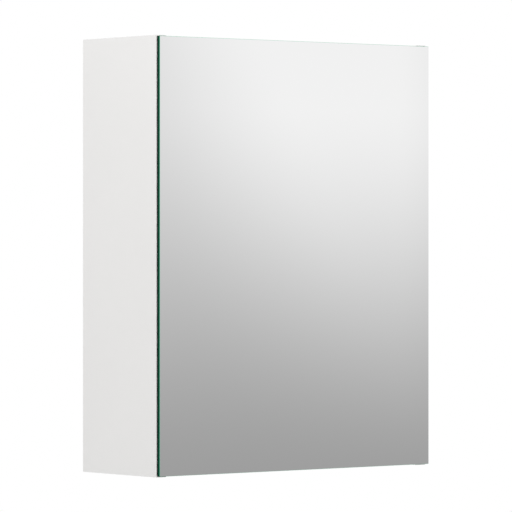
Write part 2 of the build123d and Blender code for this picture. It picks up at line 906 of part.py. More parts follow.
def hinge_arm_pins_rear():
    """Pins through both cheeks of the arms, which carry the inner links."""
    reach = cheek_high + pin_end_proud
    return at_hinges([rod_z(link_pin_radius, -reach, reach, arm_rear_pivot)])


def hinge_outer_links():
    """Outer links: a pair of plates at each hinge, one beside each cheek of the arm."""
    outline = strap(arm_front_pivot, link_hub_radius, cup_outer_pivot, link_end_radius)
    bore_radius = link_pin_radius + running_clearance
    outline = outline - disc(arm_front_pivot, bore_radius) - disc(cup_outer_pivot, bore_radius)
    return at_hinges(both_layers(outline, outer_plate_low, outer_plate_high))


def hinge_inner_links():
    """Inner links: two plates joined by a hub on the rear arm pin, loose on the cup's lug pin."""
    end_radius = open_pivot_radius + inner_end_wall
    plates = both_layers(
        strap(arm_rear_pivot, link_hub_radius, inner_link_tip, end_radius),
        inner_plate_low,
        inner_plate_high,
    )
    link = rod_z(link_hub_radius, -outer_plate_high, outer_plate_high, arm_rear_pivot)
    for plate in plates:
        link = link + plate
    reach = outer_plate_high + cut_overrun
    link = link - rod_z(link_pin_radius + running_clearance, -reach, reach, arm_rear_pivot)
    link = link - rod_z(open_pivot_radius, -reach, reach, inner_link_tip)
    return at_hinges([link])


def hinge_adhesive_plates():
    """Plates bonded to the rear pane, notched where the arm's tip comes close to the glass."""
    x_low = cup_outer_pivot.real - bond_plate_inner_reach
    x_high = cup_outer_pivot.real + cup_outer_reach
    y_high = door_rear_y + bond_plate_thickness
    half = bond_plate_half_height
    plate = block(x_low, x_high, door_rear_y, y_high, -half, half)
    plate = fillet(plate.edges().filter_by(Axis.Y), bond_plate_corner)
    notch_x = cup_outer_pivot.real - bond_plate_notch_reach
    notch_half = bond_plate_notch_half
    plate = plate - block(x_low - cut_overrun, notch_x, door_rear_y, y_high, -notch_half, notch_half)
    for screw in cup_screws_at_middle():
        plate = plate - screw
    return at_hinges([plate])


def cup_x_range():
    """How far the cup reaches each side of the outer pivot."""
    return cup_outer_pivot.real - cup_inner_reach, cup_outer_pivot.real + cup_outer_reach


def hinge_cups():
    """Cups: a floor with two cheeks for the outer link, a middle lug for the inner one, and flanges."""
    x_low, x_high = cup_x_range()
    foot_y = door_rear_y + bond_plate_thickness
    floor_y = foot_y + cup_floor_thickness
    cheek_y = door_rear_y + cup_cheek_height
    cup = block(x_low, x_high, foot_y, floor_y, -cup_cheek_high, cup_cheek_high)
    flange = block(x_low, x_high, foot_y, foot_y + cup_flange_thickness, -cup_flange_half, cup_flange_half)
    cup = cup + flange
    cheek = block(x_low, x_high, foot_y, cheek_y, cheek_low, cup_cheek_high)
    cheek = fillet(cheek.edges().filter_by(Axis.Z).group_by(Axis.Y)[-1], cup_cheek_corner)
    cup = cup + cheek + mirror(cheek, about=Plane.XY)
    cup = cup + layer(lug_outline(floor_y), -lug_half, lug_half)
    reach = cup_cheek_high + cut_overrun
    cup = cup - rod_z(link_pin_radius, -reach, reach, cup_outer_pivot)
    cup = cup - rod_z(lug_pin_radius, -reach, reach, cup_inner_pivot)
    for screw in cup_screws_at_middle():
        cup = cup - screw
    return at_hinges([cup])


def lug_outline(floor_y):
    """The cup's middle lug from above, rising from the floor to the inner link's pin."""
    foot_x = cup_outer_pivot.real - cup_lug_foot / 2
    foot_y = floor_y - cup_floor_thickness / 2
    foot_bar = Pos(foot_x, foot_y) * Rectangle(cup_lug_foot, cup_floor_thickness)
    return make_hull(foot_bar.edges() + disc(cup_inner_pivot, cup_lug_radius).edges())


def cup_screws_at_middle():
    """The two screws that hold a cup to its adhesive plate."""
    screws = []
    x_low, x_high = cup_x_range()
    x = (x_low + x_high) / 2
    seat_y = door_rear_y + bond_plate_thickness + cup_flange_thickness
    for step in (-1, 1):
        height = step * cup_screw_from_middle
        head = rod_y(cup_screw_head_diameter / 2, seat_y, seat_y + cup_screw_head_height, x, height)
        shank = rod_y(cup_screw_diameter / 2, door_rear_y, seat_y, x, height)
        screws.append(head + shank)
    return screws


def hinge_cup_screws():
    """All cup screws."""
    return at_hinges(cup_screws_at_middle())


def hinge_outer_link_pins():
    """Stub pins in the cup's cheeks, which carry the outer links."""
    low = outer_plate_low - stub_pin_gap
    return at_hinges(both_layers(disc(cup_outer_pivot, link_pin_radius), low, cup_cheek_high))


def hinge_inner_link_pins():
    """Pins in the cup's lug, which the inner links swing on."""
    return at_hinges([rod_z(lug_pin_radius, -inner_plate_high, inner_plate_high, cup_inner_pivot)])


nodes = {
    "side_panel_left": [mirrored(right_side_panel(False))],
    "side_panel_right": [right_side_panel(True)],
    "top_panel": [lying_panel(roof_z, roof_z + board_thickness, 1)],
    "bottom_panel": [lying_panel(floor_z - board_thickness, floor_z, -1)],
    "back_panel": [back_panel()],
    "upper_rear_rail": [upper_rear_rail()],
    "lower_rear_rail": [lower_rear_rail()],
    "wooden_dowels": wooden_dowels(),
    "cam_bolts": cam_bolts(),
    "cam_discs": cam_discs(),
    "cam_caps": cam_caps(),
    "glass_shelf_lower": [glass_shelf(shelf_bottoms[0])],
    "glass_shelf_upper": [glass_shelf(shelf_bottoms[-1])],
    "shelf_pins": shelf_pins(),
    "shelf_pin_sleeves": shelf_pin_sleeves(),
    "hanger_cases": hanger_cases(),
    "hanger_hooks": hanger_hooks(),
    "hanger_adjusting_screws": hanger_adjusting_screws(),
    "hanger_fixing_screws": hanger_fixing_screws(),
    "hanger_covers": hanger_covers(),
    "door_bumpers": door_bumpers(),
    "hinge_mounting_plates": hinge_mounting_plates(),
    "hinge_plate_screws": hinge_plate_screws(),
    "hinge_arms": hinge_arms(),
    "hinge_arm_screws": hinge_arm_screws(),
    "hinge_arm_covers": hinge_arm_covers(),
    "hinge_arm_pins_front": hinge_arm_pins_front(),
    "hinge_arm_pins_rear": hinge_arm_pins_rear(),
    "hinge_outer_links": hinge_outer_links(),
    "hinge_inner_links": hinge_inner_links(),
    "hinge_adhesive_plates": hinge_adhesive_plates(),
    "hinge_cups": hinge_cups(),
    "hinge_cup_screws": hinge_cup_screws(),
    "hinge_outer_link_pins": hinge_outer_link_pins(),
    "hinge_inner_link_pins": hinge_inner_link_pins(),
    "door_rear_mirror": [door_pane(rear_pane_front_y, door_rear_y)],
    "door_bonding_film": [door_bonding_film()],
    "door_front_mirror": [door_pane(door_front_y, front_pane_rear_y)],
}

os.makedirs("parts", exist_ok=True)
for name, solids in nodes.items():
    shape = solids[0] if len(solids) == 1 else Compound(children=solids)
    export_step(shape, "parts/" + name + ".step")

print("door pivot on the outer links", cup_outer_pivot)
print("outer link pivot on the arms", arm_front_pivot)
print("inner link pivot on the arms", arm_rear_pivot)
print("open pivot: largest miss", open_pivot_miss, "hole radius", open_pivot_radius)
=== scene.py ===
"""Finishes, small turned parts and studio of a wall-hung mirror cabinet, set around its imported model.

Lengths are metres in the cabinet's own frame: X runs to the right, the front faces -Y, the wall is
the plane y = 0, and Z is up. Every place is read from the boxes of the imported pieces.
"""

from __future__ import annotations

import json
import logging
import math
from collections.abc import Callable
from dataclasses import dataclass, field
from enum import Enum
from functools import partial

import bpy
import numpy as np
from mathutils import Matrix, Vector

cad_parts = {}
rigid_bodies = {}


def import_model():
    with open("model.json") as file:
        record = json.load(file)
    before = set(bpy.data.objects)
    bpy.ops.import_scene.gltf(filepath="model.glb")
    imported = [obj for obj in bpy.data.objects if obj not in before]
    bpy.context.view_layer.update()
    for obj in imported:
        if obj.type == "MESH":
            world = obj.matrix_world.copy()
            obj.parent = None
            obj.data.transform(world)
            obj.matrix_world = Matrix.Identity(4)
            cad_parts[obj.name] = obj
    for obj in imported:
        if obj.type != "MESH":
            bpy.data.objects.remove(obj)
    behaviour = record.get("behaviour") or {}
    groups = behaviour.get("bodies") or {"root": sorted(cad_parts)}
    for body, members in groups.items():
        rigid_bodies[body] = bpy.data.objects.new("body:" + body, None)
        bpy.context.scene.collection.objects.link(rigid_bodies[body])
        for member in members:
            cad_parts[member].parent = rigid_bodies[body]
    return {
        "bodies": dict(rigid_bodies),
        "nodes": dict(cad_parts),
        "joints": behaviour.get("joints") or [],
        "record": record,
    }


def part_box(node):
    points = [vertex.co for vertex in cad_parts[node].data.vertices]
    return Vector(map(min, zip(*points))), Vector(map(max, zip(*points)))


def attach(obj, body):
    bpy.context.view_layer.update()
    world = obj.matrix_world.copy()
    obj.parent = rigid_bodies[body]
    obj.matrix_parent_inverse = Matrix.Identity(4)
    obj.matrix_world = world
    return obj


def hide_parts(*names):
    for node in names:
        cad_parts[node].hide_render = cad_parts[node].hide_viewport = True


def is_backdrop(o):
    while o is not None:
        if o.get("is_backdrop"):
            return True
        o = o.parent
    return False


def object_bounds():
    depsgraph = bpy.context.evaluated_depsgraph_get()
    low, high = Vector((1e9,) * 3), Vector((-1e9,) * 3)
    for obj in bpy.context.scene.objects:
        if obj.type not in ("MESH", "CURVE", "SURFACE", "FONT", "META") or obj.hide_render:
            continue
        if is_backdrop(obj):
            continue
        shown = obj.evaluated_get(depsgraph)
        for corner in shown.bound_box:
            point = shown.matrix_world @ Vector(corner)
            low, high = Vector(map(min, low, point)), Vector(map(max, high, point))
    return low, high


log = logging.getLogger("mirror_cabinet")

Triple = tuple[float, float, float]
Colour = Triple
Array = np.ndarray
MM = 0.001
SAME_PLACE = 0.001 * MM
BOX_DECIMALS = 5
ROUND_STEPS = 6
SHARP_DEGREES = 28
WHOLE = (0.0, 1.0)
NOISE_CORE = (0.3, 0.7)
EVEN = (1.0, 1.0, 1.0)


class Axis(Enum):
    """The three directions of the cabinet's frame, by their place in a point."""

    ACROSS = 0
    DEPTH = 1
    HEIGHT = 2


class Body(Enum):
    """The bodies that move on their own."""

    CABINET = "cabinet"
    OUTER_LINKS = "outer_links"
    INNER_LINKS = "inner_links"
    DOOR = "door"


class RawFaces(Enum):
    """Which of a board's edges show its bare core: pairs of an axis and a side of it."""

    NONE = ()
    REAR = ((Axis.DEPTH, 1),)
    LONG_EDGES = ((Axis.HEIGHT, 1), (Axis.HEIGHT, -1))


@dataclass(frozen=True)
class Box:
    """The lowest and the highest corner of a piece."""

    low: Array
    high: Array

    @property
    def middle(self) -> Array:
        """The point halfway between the corners."""
        return (self.low + self.high) / 2

    @property
    def size(self) -> Array:
        """The lengths of the three sides."""
        return self.high - self.low

    @property
    def side_of_middle(self) -> int:
        """1 when the piece is right of the cabinet's middle, and -1 when it is left of it."""
        return 1 if self.middle[Axis.ACROSS.value] > 0 else -1

    def face(self, axis: Axis, side: int) -> Array:
        """The middle of one of the six faces.

        Args:
            axis: The direction that the face looks along.
            side: 1 for the face at the high end, and -1 for the one at the low end.

        Returns:
            The point.
        """
        point = self.middle
        point[axis.value] = (self.high if side > 0 else self.low)[axis.value]
        return point


def node_box(node: str) -> Box:
    """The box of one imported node.

    Args:
        node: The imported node's name.

    Returns:
        Its box at rest.
    """
    low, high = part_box(node)
    return Box(np.array(low), np.array(high))


def solid_boxes(node: bpy.types.Object) -> list[Box]:
    """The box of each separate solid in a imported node.

    Points that share a place are made one. Then each triangle gives its corners the lowest label
    among them, again and again, until every solid holds a single label.

    Args:
        node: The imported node's object.

    Returns:
        One box for each solid, in order of its lowest corner.
    """
    mesh = node.data
    places = np.empty(len(mesh.vertices) * 3)
    mesh.vertices.foreach_get("co", places)
    places = places.reshape(-1, 3)
    corners = np.empty(len(mesh.loops), int)
    mesh.loops.foreach_get("vertex_index", corners)
    _, shared = np.unique(np.round(places / SAME_PLACE), axis=0, return_inverse=True)
    triangles = shared.reshape(-1)[corners].reshape(-1, 3)
    labels = np.arange(shared.max() + 1)
    settled = False
    while not settled:
        before = labels.copy()
        lowest = labels[triangles].min(axis=1)
        np.minimum.at(labels, triangles.ravel(), np.repeat(lowest, 3))
        labels = labels[labels]
        settled = np.array_equal(before, labels)
    owner = labels[shared.reshape(-1)]
    pieces = [places[owner == one] for one in np.unique(owner)]
    boxes = [Box(piece.min(axis=0), piece.max(axis=0)) for piece in pieces]
    return sorted(boxes, key=lambda box: tuple(np.round(box.low, BOX_DECIMALS)))


@dataclass
class Solid:
    """A closed surface: its points, its faces as rows of point numbers, and each face's finish number."""

    points: Array
    faces: list[Array] = field(default_factory=list)
    finishes: list[int] = field(default_factory=list)

    def sixfold_volume(self) -> float:
        """Six times the volume inside: over all fans of the faces, the sum of three corners' product.

        Returns:
            The volume, below zero where the faces point inwards.
        """
        total = 0.0
        for rows in self.faces:
            first = self.points[rows[:, 0]]
            for step in range(1, rows.shape[1] - 1):
                second = self.points[rows[:, step]]
                third = self.points[rows[:, step + 1]]
                total += float(np.einsum("ij,ij->", first, np.cross(second, third)))
        return total

    def outward(self) -> Solid:
        """The same surface with its faces turned outwards."""
        if self.sixfold_volume() < 0:
            self.faces = [rows[:, ::-1] for rows in self.faces]
        return self


def joined(solids: list[Solid]) -> Solid:
    """Several closed surfaces as one.

    Args:
        solids: The surfaces.

    Returns:
        One surface that holds them all.
    """
    points, faces, finishes, start = [], [], [], 0
    for solid in solids:
        points.append(solid.points)
        faces.extend(rows + start for rows in solid.faces)
        finishes.extend(solid.finishes)
        start += len(solid.points)
    return Solid(np.vstack(points), faces, finishes)


def grid_faces(rows: int, columns: int, closed_rows: bool) -> Array:
    """Point numbers of the four-sided faces of a grid whose columns close on themselves.

    Args:
        rows: How many rows of points there are.
        columns: How many points a row has.
        closed_rows: Whether the last row joins the first.

    Returns:
        One row of four point numbers for each face.
    """
    last = rows if closed_rows else rows - 1
    row, column = np.meshgrid(np.arange(last), np.arange(columns), indexing="ij")
    below, beside = (row + 1) % rows, (column + 1) % columns
    here, under = row * columns, below * columns
    return np.stack([here + column, here + beside, under + beside, under + column]).reshape(4, -1).T


def capped(rows: Array) -> Solid:
    """A closed surface from rows of points that each go round, with a fan of triangles at both ends.

    Args:
        rows: Points as (row, column, axis).

    Returns:
        The closed surface.
    """
    count, columns = rows.shape[:2]
    points = np.vstack([rows.reshape(-1, 3), rows[0].mean(axis=0), rows[-1].mean(axis=0)])
    column = np.arange(columns)
    beside = (column + 1) % columns
    first_pole, last_pole = count * columns, count * columns + 1
    last_row = (count - 1) * columns
    first_fan = np.stack([beside, column, np.full(columns, first_pole)], axis=1)
    last_fan = np.stack([last_row + column, last_row + beside, np.full(columns, last_pole)], axis=1)
    faces = [grid_faces(count, columns, False), first_fan, last_fan]
    return Solid(points, faces, [0, 0, 0]).outward()


def ring(rows: Array) -> Solid:
    """A closed surface from rows of points that go round and whose last row joins the first.

    Args:
        rows: Points as (row, column, axis).

    Returns:
        The closed surface.
    """
    return Solid(rows.reshape(-1, 3), [grid_faces(rows.shape[0], rows.shape[1], True)], [0]).outward()


def arc(centre: tuple[float, float], radius: float, start: float, end: float, steps: int) -> Array:
    """Points along an arc of a profile: the centre plus the radius times the cosine and the sine.

    Args:
        centre: The arc's centre in the profile.
        radius: Its radius.
        start: The angle of the first point, in degrees.
        end: The angle of the last point, in degrees.
        steps: How many points there are.

    Returns:
        The points as (distance from the axis, place along the axis).
    """
    angle = np.radians(np.linspace(start, end, steps))
    return np.stack([centre[0] + radius * np.cos(angle), centre[1] + radius * np.sin(angle)], axis=1)


def round_angles(sides: int) -> Array:
    """Equal steps once round a circle, without the last one, which is the first again."""
    return np.linspace(0, 2 * math.pi, sides, endpoint=False)


def spun(profile: Array, sides: int) -> Array:
    """A profile carried round the Z axis: each point goes round a circle of its own radius.

    Args:
        profile: Points as (distance from the axis, place along the axis).
        sides: How many points each circle has.

    Returns:
        Points as (profile point, angle, axis).
    """
    angle = round_angles(sides)
    radius, along = profile[:, :1], profile[:, 1:]
    return np.stack([radius * np.cos(angle), radius * np.sin(angle), along + 0 * angle], axis=2)


@dataclass(frozen=True)
class Place:
    """Where a turned part stands: the point of its own origin, and the direction of its own axis."""

    origin: Array
    axis: Axis
    side: int

    def carry(self, solid: Solid) -> Solid:
        """A part made along Z, set at this place: its X and Y go to the next two axes in turn.

        Args:
            solid: The part, with its axis along Z.

        Returns:
            The part in the cabinet's frame.
        """
        along = np.eye(3)[self.axis.value] * self.side
        first = np.eye(3)[(self.axis.value + 1) % 3]
        second = np.cross(along, first)
        frame = np.stack([first, second, along])
        return Solid(solid.points @ frame + self.origin, solid.faces, solid.finishes)


class Graph:
    """Adds and joins the nodes of one material or world."""

    def __init__(self, tree: bpy.types.NodeTree) -> None:
        """Starts from an empty tree."""
        self.tree = tree
        tree.nodes.clear()

    def add(self, kind: str, inputs: dict | None = None, **settings: object) -> bpy.types.Node:
        """One node, with its settings, its plain values and its links.

        Args:
            kind: The node's type.
            inputs: A value or another node's output for each input, by name or number.
            settings: The node's own properties.

        Returns:
            The node.
        """
        node = self.tree.nodes.new(kind)
        for name, value in settings.items():
            setattr(node, name, value)
        for name, value in (inputs or {}).items():
            if isinstance(value, bpy.types.NodeSocket):
                self.tree.links.new(value, node.inputs[name])
            else:
                node.inputs[name].default_value = value
        return node

    def places(self, stretch: Triple = EVEN) -> bpy.types.NodeSocket:
        """The point on the piece, stretched along each axis for a pattern that runs one way."""
        point = self.add("ShaderNodeTexCoord").outputs["Object"]
        return self.add("ShaderNodeMapping", {"Vector": point, "Scale": stretch}).outputs["Vector"]

    def axes(self, vector: bpy.types.NodeSocket) -> list[bpy.types.NodeSocket]:
        """The three parts of a point or a direction."""
        return list(self.add("ShaderNodeSeparateXYZ", {0: vector}).outputs)

    def normal(self) -> bpy.types.NodeSocket:
        """The direction that the surface faces, in the piece's own frame."""
        return self.add("ShaderNodeTexCoord").outputs["Normal"]

    def sums(
        self, operation: str, first: object, second: object = 0.0, third: object = 0.0
    ) -> bpy.types.NodeSocket:
        """One step of arithmetic on two or three numbers."""
        inputs = {0: first, 1: second, 2: third}
        return self.add("ShaderNodeMath", inputs, operation=operation).outputs[0]

    def span(self, value: object, source: tuple, target: tuple, smooth: bool = False) -> bpy.types.NodeSocket:
        """A number carried from one range to another, held at its ends.

        Args:
            value: The number.
            source: The range it comes from.
            target: The range it goes to.
            smooth: Whether it eases in and out of the ends.

        Returns:
            The number in its new range.
        """
        inputs = {0: value, 1: source[0], 2: source[1], 3: target[0], 4: target[1]}
        kind = "SMOOTHSTEP" if smooth else "LINEAR"
        return self.add("ShaderNodeMapRange", inputs, interpolation_type=kind).outputs[0]

    def noise(self, point: bpy.types.NodeSocket, scale: float, detail: float = 2.0) -> bpy.types.NodeSocket:
        """Cloudy variation from 0 to 1, with so many patches to the metre."""
        inputs = {"Vector": point, "Scale": scale, "Detail": detail}
        return self.add("ShaderNodeTexNoise", inputs).outputs["Fac"]

    def mix(self, share: object, first: object, second: object) -> bpy.types.NodeSocket:
        """One colour turned into another by a share from 0 to 1."""
        colours = [rgba(one) if isinstance(one, tuple) else one for one in (first, second)]
        inputs = {0: share, 6: colours[0], 7: colours[1]}
        return self.add("ShaderNodeMix", inputs, data_type="RGBA").outputs[2]

    def bump(self, height: bpy.types.NodeSocket, depth: float, strength: float = 1.0) -> bpy.types.NodeSocket:
        """A fine relief: the height, from 0 to 1, is so many metres deep."""
        inputs = {"Height": height, "Distance": depth, "Strength": strength}
        return self.add("ShaderNodeBump", inputs).outputs["Normal"]


def rgba(colour: Colour) -> tuple[float, float, float, float]:
    """A colour with full cover."""
    return (*colour, 1.0)


def linear(red: int, green: int, blue: int) -> Colour:
    """A screen colour of 0 to 255 as light: above the foot, a power of 2.4 of its share."""
    shares = [part / 255 for part in (red, green, blue)]
    return tuple(s / 12.92 if s <= 0.04045 else ((s + 0.055) / 1.055) ** 2.4 for s in shares)


@dataclass(frozen=True)
class Finish:
    """What every finish has: a name, the record's slot, and a surface shader."""

    name: str
    slot: str

    def material(self) -> bpy.types.Material:
        """The finished material."""
        made = bpy.data.materials.new(self.name)
        made.use_nodes = True
        graph = Graph(made.node_tree)
        surface = self.surface(graph)
        graph.add("ShaderNodeOutputMaterial", {"Surface": surface})
        return made

    def surface(self, graph: Graph) -> bpy.types.NodeSocket:
        """The shader that the output takes; each finish has its own."""
        raise NotImplementedError(self.name)

    def shader(self, graph: Graph, inputs: dict) -> bpy.types.NodeSocket:
        """The general surface shader with this finish's inputs."""
        return graph.add("ShaderNodeBsdfPrincipled", inputs).outputs[0]


@dataclass(frozen=True)
class BoardFinish(Finish):
    """White satin board whose bare core shows in its borings and on the edges that are never seen."""

    box: Box
    thin: Axis
    raw: RawFaces
    white: Colour = (0.855, 0.848, 0.838)
    core_light: Colour = (0.56, 0.42, 0.27)
    core_dark: Colour = (0.30, 0.20, 0.115)
    edge_margin: float = 0.0012
    band_thickness: float = 0.0010
    band_line: float = 0.00006
    cloud_scale: float = 5.0
    cloud_tone: float = 0.982
    line_share: float = 0.22
    line_tone: float = 0.7
    orange_peel_scale: float = 620.0
    peel_depth: float = 0.00002
    chip_scale: float = 420.0
    satin_scale: float = 60.0
    satin: tuple[float, float] = (0.30, 0.38)
    core_roughness: float = 0.5

    def core_share(self, graph: Graph) -> bpy.types.NodeSocket:
        """1 where the bare core shows: inside the outer edges on a wall of a boring, and on raw edges."""
        point = graph.axes(graph.places())
        facing = graph.axes(graph.normal())
        share = graph.sums("LESS_THAN", graph.sums("ABSOLUTE", facing[self.thin.value]), 0.5)
        for axis in Axis:
            if axis is not self.thin:
                reach = float(self.box.size[axis.value]) / 2 - self.edge_margin
                middle = float(self.box.middle[axis.value])
                inside = graph.sums("COMPARE", point[axis.value], middle, reach)
                share = graph.sums("MULTIPLY", share, inside)
        for axis, side in self.raw.value:
            turned = graph.sums("MULTIPLY", facing[axis.value], float(side))
            outer = float((self.box.high if side > 0 else self.box.low)[axis.value])
            at_edge = graph.sums("COMPARE", point[axis.value], outer, self.edge_margin / 2)
            raw = graph.sums("MULTIPLY", graph.sums("GREATER_THAN", turned, 0.5), at_edge)
            share = graph.sums("MAXIMUM", share, raw)
        return share

    def surface(self, graph: Graph) -> bpy.types.NodeSocket:
        """Satin lacquer with a faint orange peel, the edge band's hairline, and chips in the core."""
        point = graph.places()
        share = self.core_share(graph)
        cloud = graph.noise(point, self.cloud_scale, 3.0)
        clouded = scaled(self.white, self.cloud_tone)
        tone = graph.mix(graph.span(cloud, NOISE_CORE, WHOLE), self.white, clouded)
        front = float(self.box.low[Axis.DEPTH.value]) + self.band_thickness
        depth = graph.axes(point)[Axis.DEPTH.value]
        hairline = graph.sums("COMPARE", depth, front, self.band_line)
        line = graph.sums("MULTIPLY", hairline, self.line_share)
        tone = graph.mix(line, tone, scaled(self.white, self.line_tone))
        chip_inputs = {"Vector": graph.places((1.0, 2.2, 1.0)), "Scale": self.chip_scale}
        chips = graph.add("ShaderNodeTexVoronoi", chip_inputs)
        chip_tone = graph.axes(chips.outputs["Color"])[0]
        core = graph.mix(chip_tone, self.core_dark, self.core_light)
        peel = graph.noise(point, self.orange_peel_scale, 1.0)
        roughness = graph.span(graph.noise(point, self.satin_scale, 2.0), NOISE_CORE, self.satin)
        relief = graph.sums("ADD", peel, graph.sums("MULTIPLY", share, chip_tone))
        inputs = {
            "Base Color": graph.mix(share, tone, core),
            "Roughness": graph.sums("ADD", roughness, graph.sums("MULTIPLY", share, self.core_roughness)),
            "Normal": graph.bump(relief, self.peel_depth, 0.6),
            "Specular IOR Level": 0.42,
        }
        return self.shader(graph, inputs)


def scaled(colour: Colour, share: float) -> Colour:
    """A colour made darker or lighter by one factor."""
    return tuple(part * share for part in colour)


@dataclass(frozen=True)
class HardboardFinish(Finish):
    """Thin back board: smooth and white to the inside, brown with the mark of its screen to the wall."""

    white: Colour = (0.84, 0.835, 0.825)
    fibre_light: Colour = (0.36, 0.235, 0.135)
    fibre_dark: Colour = (0.21, 0.125, 0.065)
    screen_scale: float = 180.0

    def surface(self, graph: Graph) -> bpy.types.NodeSocket:
        """White where it faces the front, and elsewhere fibres with two crossed sets of fine waves."""
        point = graph.places()
        facing = graph.axes(graph.normal())[Axis.DEPTH.value]
        share = graph.sums("GREATER_THAN", facing, -0.5)
        waves = []
        for direction in ("X", "Z"):
            inputs = {"Vector": point, "Scale": self.screen_scale, "Distortion": 0.4}
            waves.append(graph.add("ShaderNodeTexWave", inputs, bands_direction=direction).outputs["Fac"])
        screen = graph.sums("MULTIPLY", waves[0], waves[1])
        fibres = graph.noise(graph.places((1.0, 1.0, 0.35)), 900.0, 4.0)
        brown = graph.mix(graph.span(fibres, NOISE_CORE, WHOLE), self.fibre_dark, self.fibre_light)
        brown = graph.mix(graph.sums("MULTIPLY", screen, 0.35), brown, self.fibre_dark)
        tone = graph.mix(graph.noise(point, 4.0, 2.0), self.white, scaled(self.white, 0.975))
        grain = graph.noise(point, 500.0, 2.0)
        relief = graph.sums("ADD", graph.sums("MULTIPLY", share, screen), graph.sums("MULTIPLY", grain, 0.1))
        inputs = {
            "Base Color": graph.mix(share, tone, brown),
            "Roughness": graph.span(share, WHOLE, (0.4, 0.85)),
            "Normal": graph.bump(relief, 0.00008, 0.7),
        }
        return self.shader(graph, inputs)


@dataclass(frozen=True)
class BeechFinish(Finish):
    """Pale beech with its grain along X, short dark flecks and open pores."""

    pale: Colour = (0.66, 0.48, 0.31)
    deep: Colour = (0.47, 0.30, 0.17)

    def surface(self, graph: Graph) -> bpy.types.NodeSocket:
        """Noise drawn out along the grain for the rings, and finer noise for the flecks."""
        grain = graph.noise(graph.places((0.06, 1.0, 1.0)), 900.0, 3.0)
        flecks = graph.noise(graph.places((0.25, 1.0, 1.0)), 2600.0, 1.0)
        tone = graph.mix(graph.span(grain, (0.35, 0.65), WHOLE), self.deep, self.pale)
        tone = graph.mix(graph.span(flecks, (0.62, 0.7), (0.0, 0.6)), tone, scaled(self.deep, 0.7))
        inputs = {"Base Color": tone, "Roughness": 0.62, "Normal": graph.bump(grain, 0.00006, 0.6)}
        return self.shader(graph, inputs)


@dataclass(frozen=True)
class SilveredGlassFinish(Finish):
    """The mirrored face: silver behind clear glass, with the faintest cloudiness of wiped glass."""

    silver: Colour = (0.925, 0.925, 0.925)

    def surface(self, graph: Graph) -> bpy.types.NodeSocket:
        """A full metal with almost no roughness, which wanders a little across the pane."""
        cloud = graph.noise(graph.places(), 7.0, 3.0)
        tone = graph.mix(cloud, self.silver, scaled(self.silver, 0.996))
        inputs = {
            "Base Color": tone,
            "Metallic": 1.0,
            "Roughness": graph.span(cloud, (0.3, 0.8), (0.004, 0.012)),
        }
        return self.shader(graph, inputs)


@dataclass(frozen=True)
class GlassEdgeFinish(Finish):
    """The ground edge of a mirror pane: bottle green, with painted shade towards its silver, painted light
    towards its open face and a painted highlight on its open arris.
    """

    silver_y: float
    open_y: float
    # The two greens below are the ends of a painted ramp: painted shade by the silver and painted light from
    # inner reflection by the open face.
    painted_shade_at_silver: Colour
    painted_light_at_face: Colour
    # The arris colour is a painted highlight where the open arris catches light.
    arris: Colour
    arris_share: float = 0.16
    arris_ease: float = 0.4
    wander: float = 0.06
    streak_stretch: Triple = (0.06, 14.0, 0.06)

    def surface(self, graph: Graph) -> bpy.types.NodeSocket:
        """Green blended through the pane's thickness from painted shade by the silver to painted light by the
        open face, with a painted highlight on the arris and fine grinding lines along the edge.
        """
        depth = graph.axes(graph.places())[Axis.DEPTH.value]
        through = graph.span(depth, (self.silver_y, self.open_y), WHOLE)
        streak = graph.noise(graph.places(self.streak_stretch), 160.0, 3.0)
        wander = graph.sums("ADD", through, graph.span(streak, NOISE_CORE, (-self.wander, self.wander)))
        # Painted shade by the silver blends into painted light by the open face.
        blend = graph.span(wander, (0.05, 0.95), WHOLE, True)
        green = graph.mix(blend, self.painted_shade_at_silver, self.painted_light_at_face)
        # Painted highlight on the open arris; the same share also makes the arris rougher.
        arris_span = (1.0 - self.arris_share, 1.0 - self.arris_share * self.arris_ease)
        arris_highlight_and_roughness = graph.span(through, arris_span, WHOLE)
        inputs = {
            "Base Color": graph.mix(arris_highlight_and_roughness, green, self.arris),
            "Roughness": graph.span(arris_highlight_and_roughness, WHOLE, (0.14, 0.34)),
            "Normal": graph.bump(streak, 0.00001, 0.5),
            "Specular IOR Level": 0.02,
        }
        return self.shader(graph, inputs)


@dataclass(frozen=True)
class ShelfGlassFinish(Finish):
    """Clear float glass: nearly colourless through its faces, green along its polished edges."""

    through: Colour = (0.90, 0.955, 0.93)
    edge: Colour = (0.24, 0.55, 0.45)

    def surface(self, graph: Graph) -> bpy.types.NodeSocket:
        """Clear glass whose tint follows how far the surface turns from the flat faces."""
        facing = graph.axes(graph.normal())[Axis.HEIGHT.value]
        upright = graph.span(graph.sums("ABSOLUTE", facing), (0.25, 0.9), (1.0, 0.0))
        drift = graph.noise(graph.places(), 25.0, 2.0)
        green_share = graph.sums("MULTIPLY", upright, graph.span(drift, (0.2, 0.8), (0.8, 1.0)))
        tint = graph.mix(green_share, self.through, self.edge)
        inputs = {
            "Base Color": tint,
            "Roughness": graph.span(upright, WHOLE, (0.004, 0.09)),
            "IOR": 1.52,
            "Transmission Weight": 1.0,
        }
        return self.shader(graph, inputs)


@dataclass(frozen=True)
class FilmFinish(Finish):
    """The grey adhesive film between the two panes."""

    grey: Colour = (0.035, 0.04, 0.04)

    def surface(self, graph: Graph) -> bpy.types.NodeSocket:
        """Dull grey with a fine mottle."""
        mottle = graph.noise(graph.places(), 800.0, 2.0)
        inputs = {"Base Color": graph.mix(mottle, self.grey, scaled(self.grey, 1.6)), "Roughness": 0.6}
        return self.shader(graph, inputs)


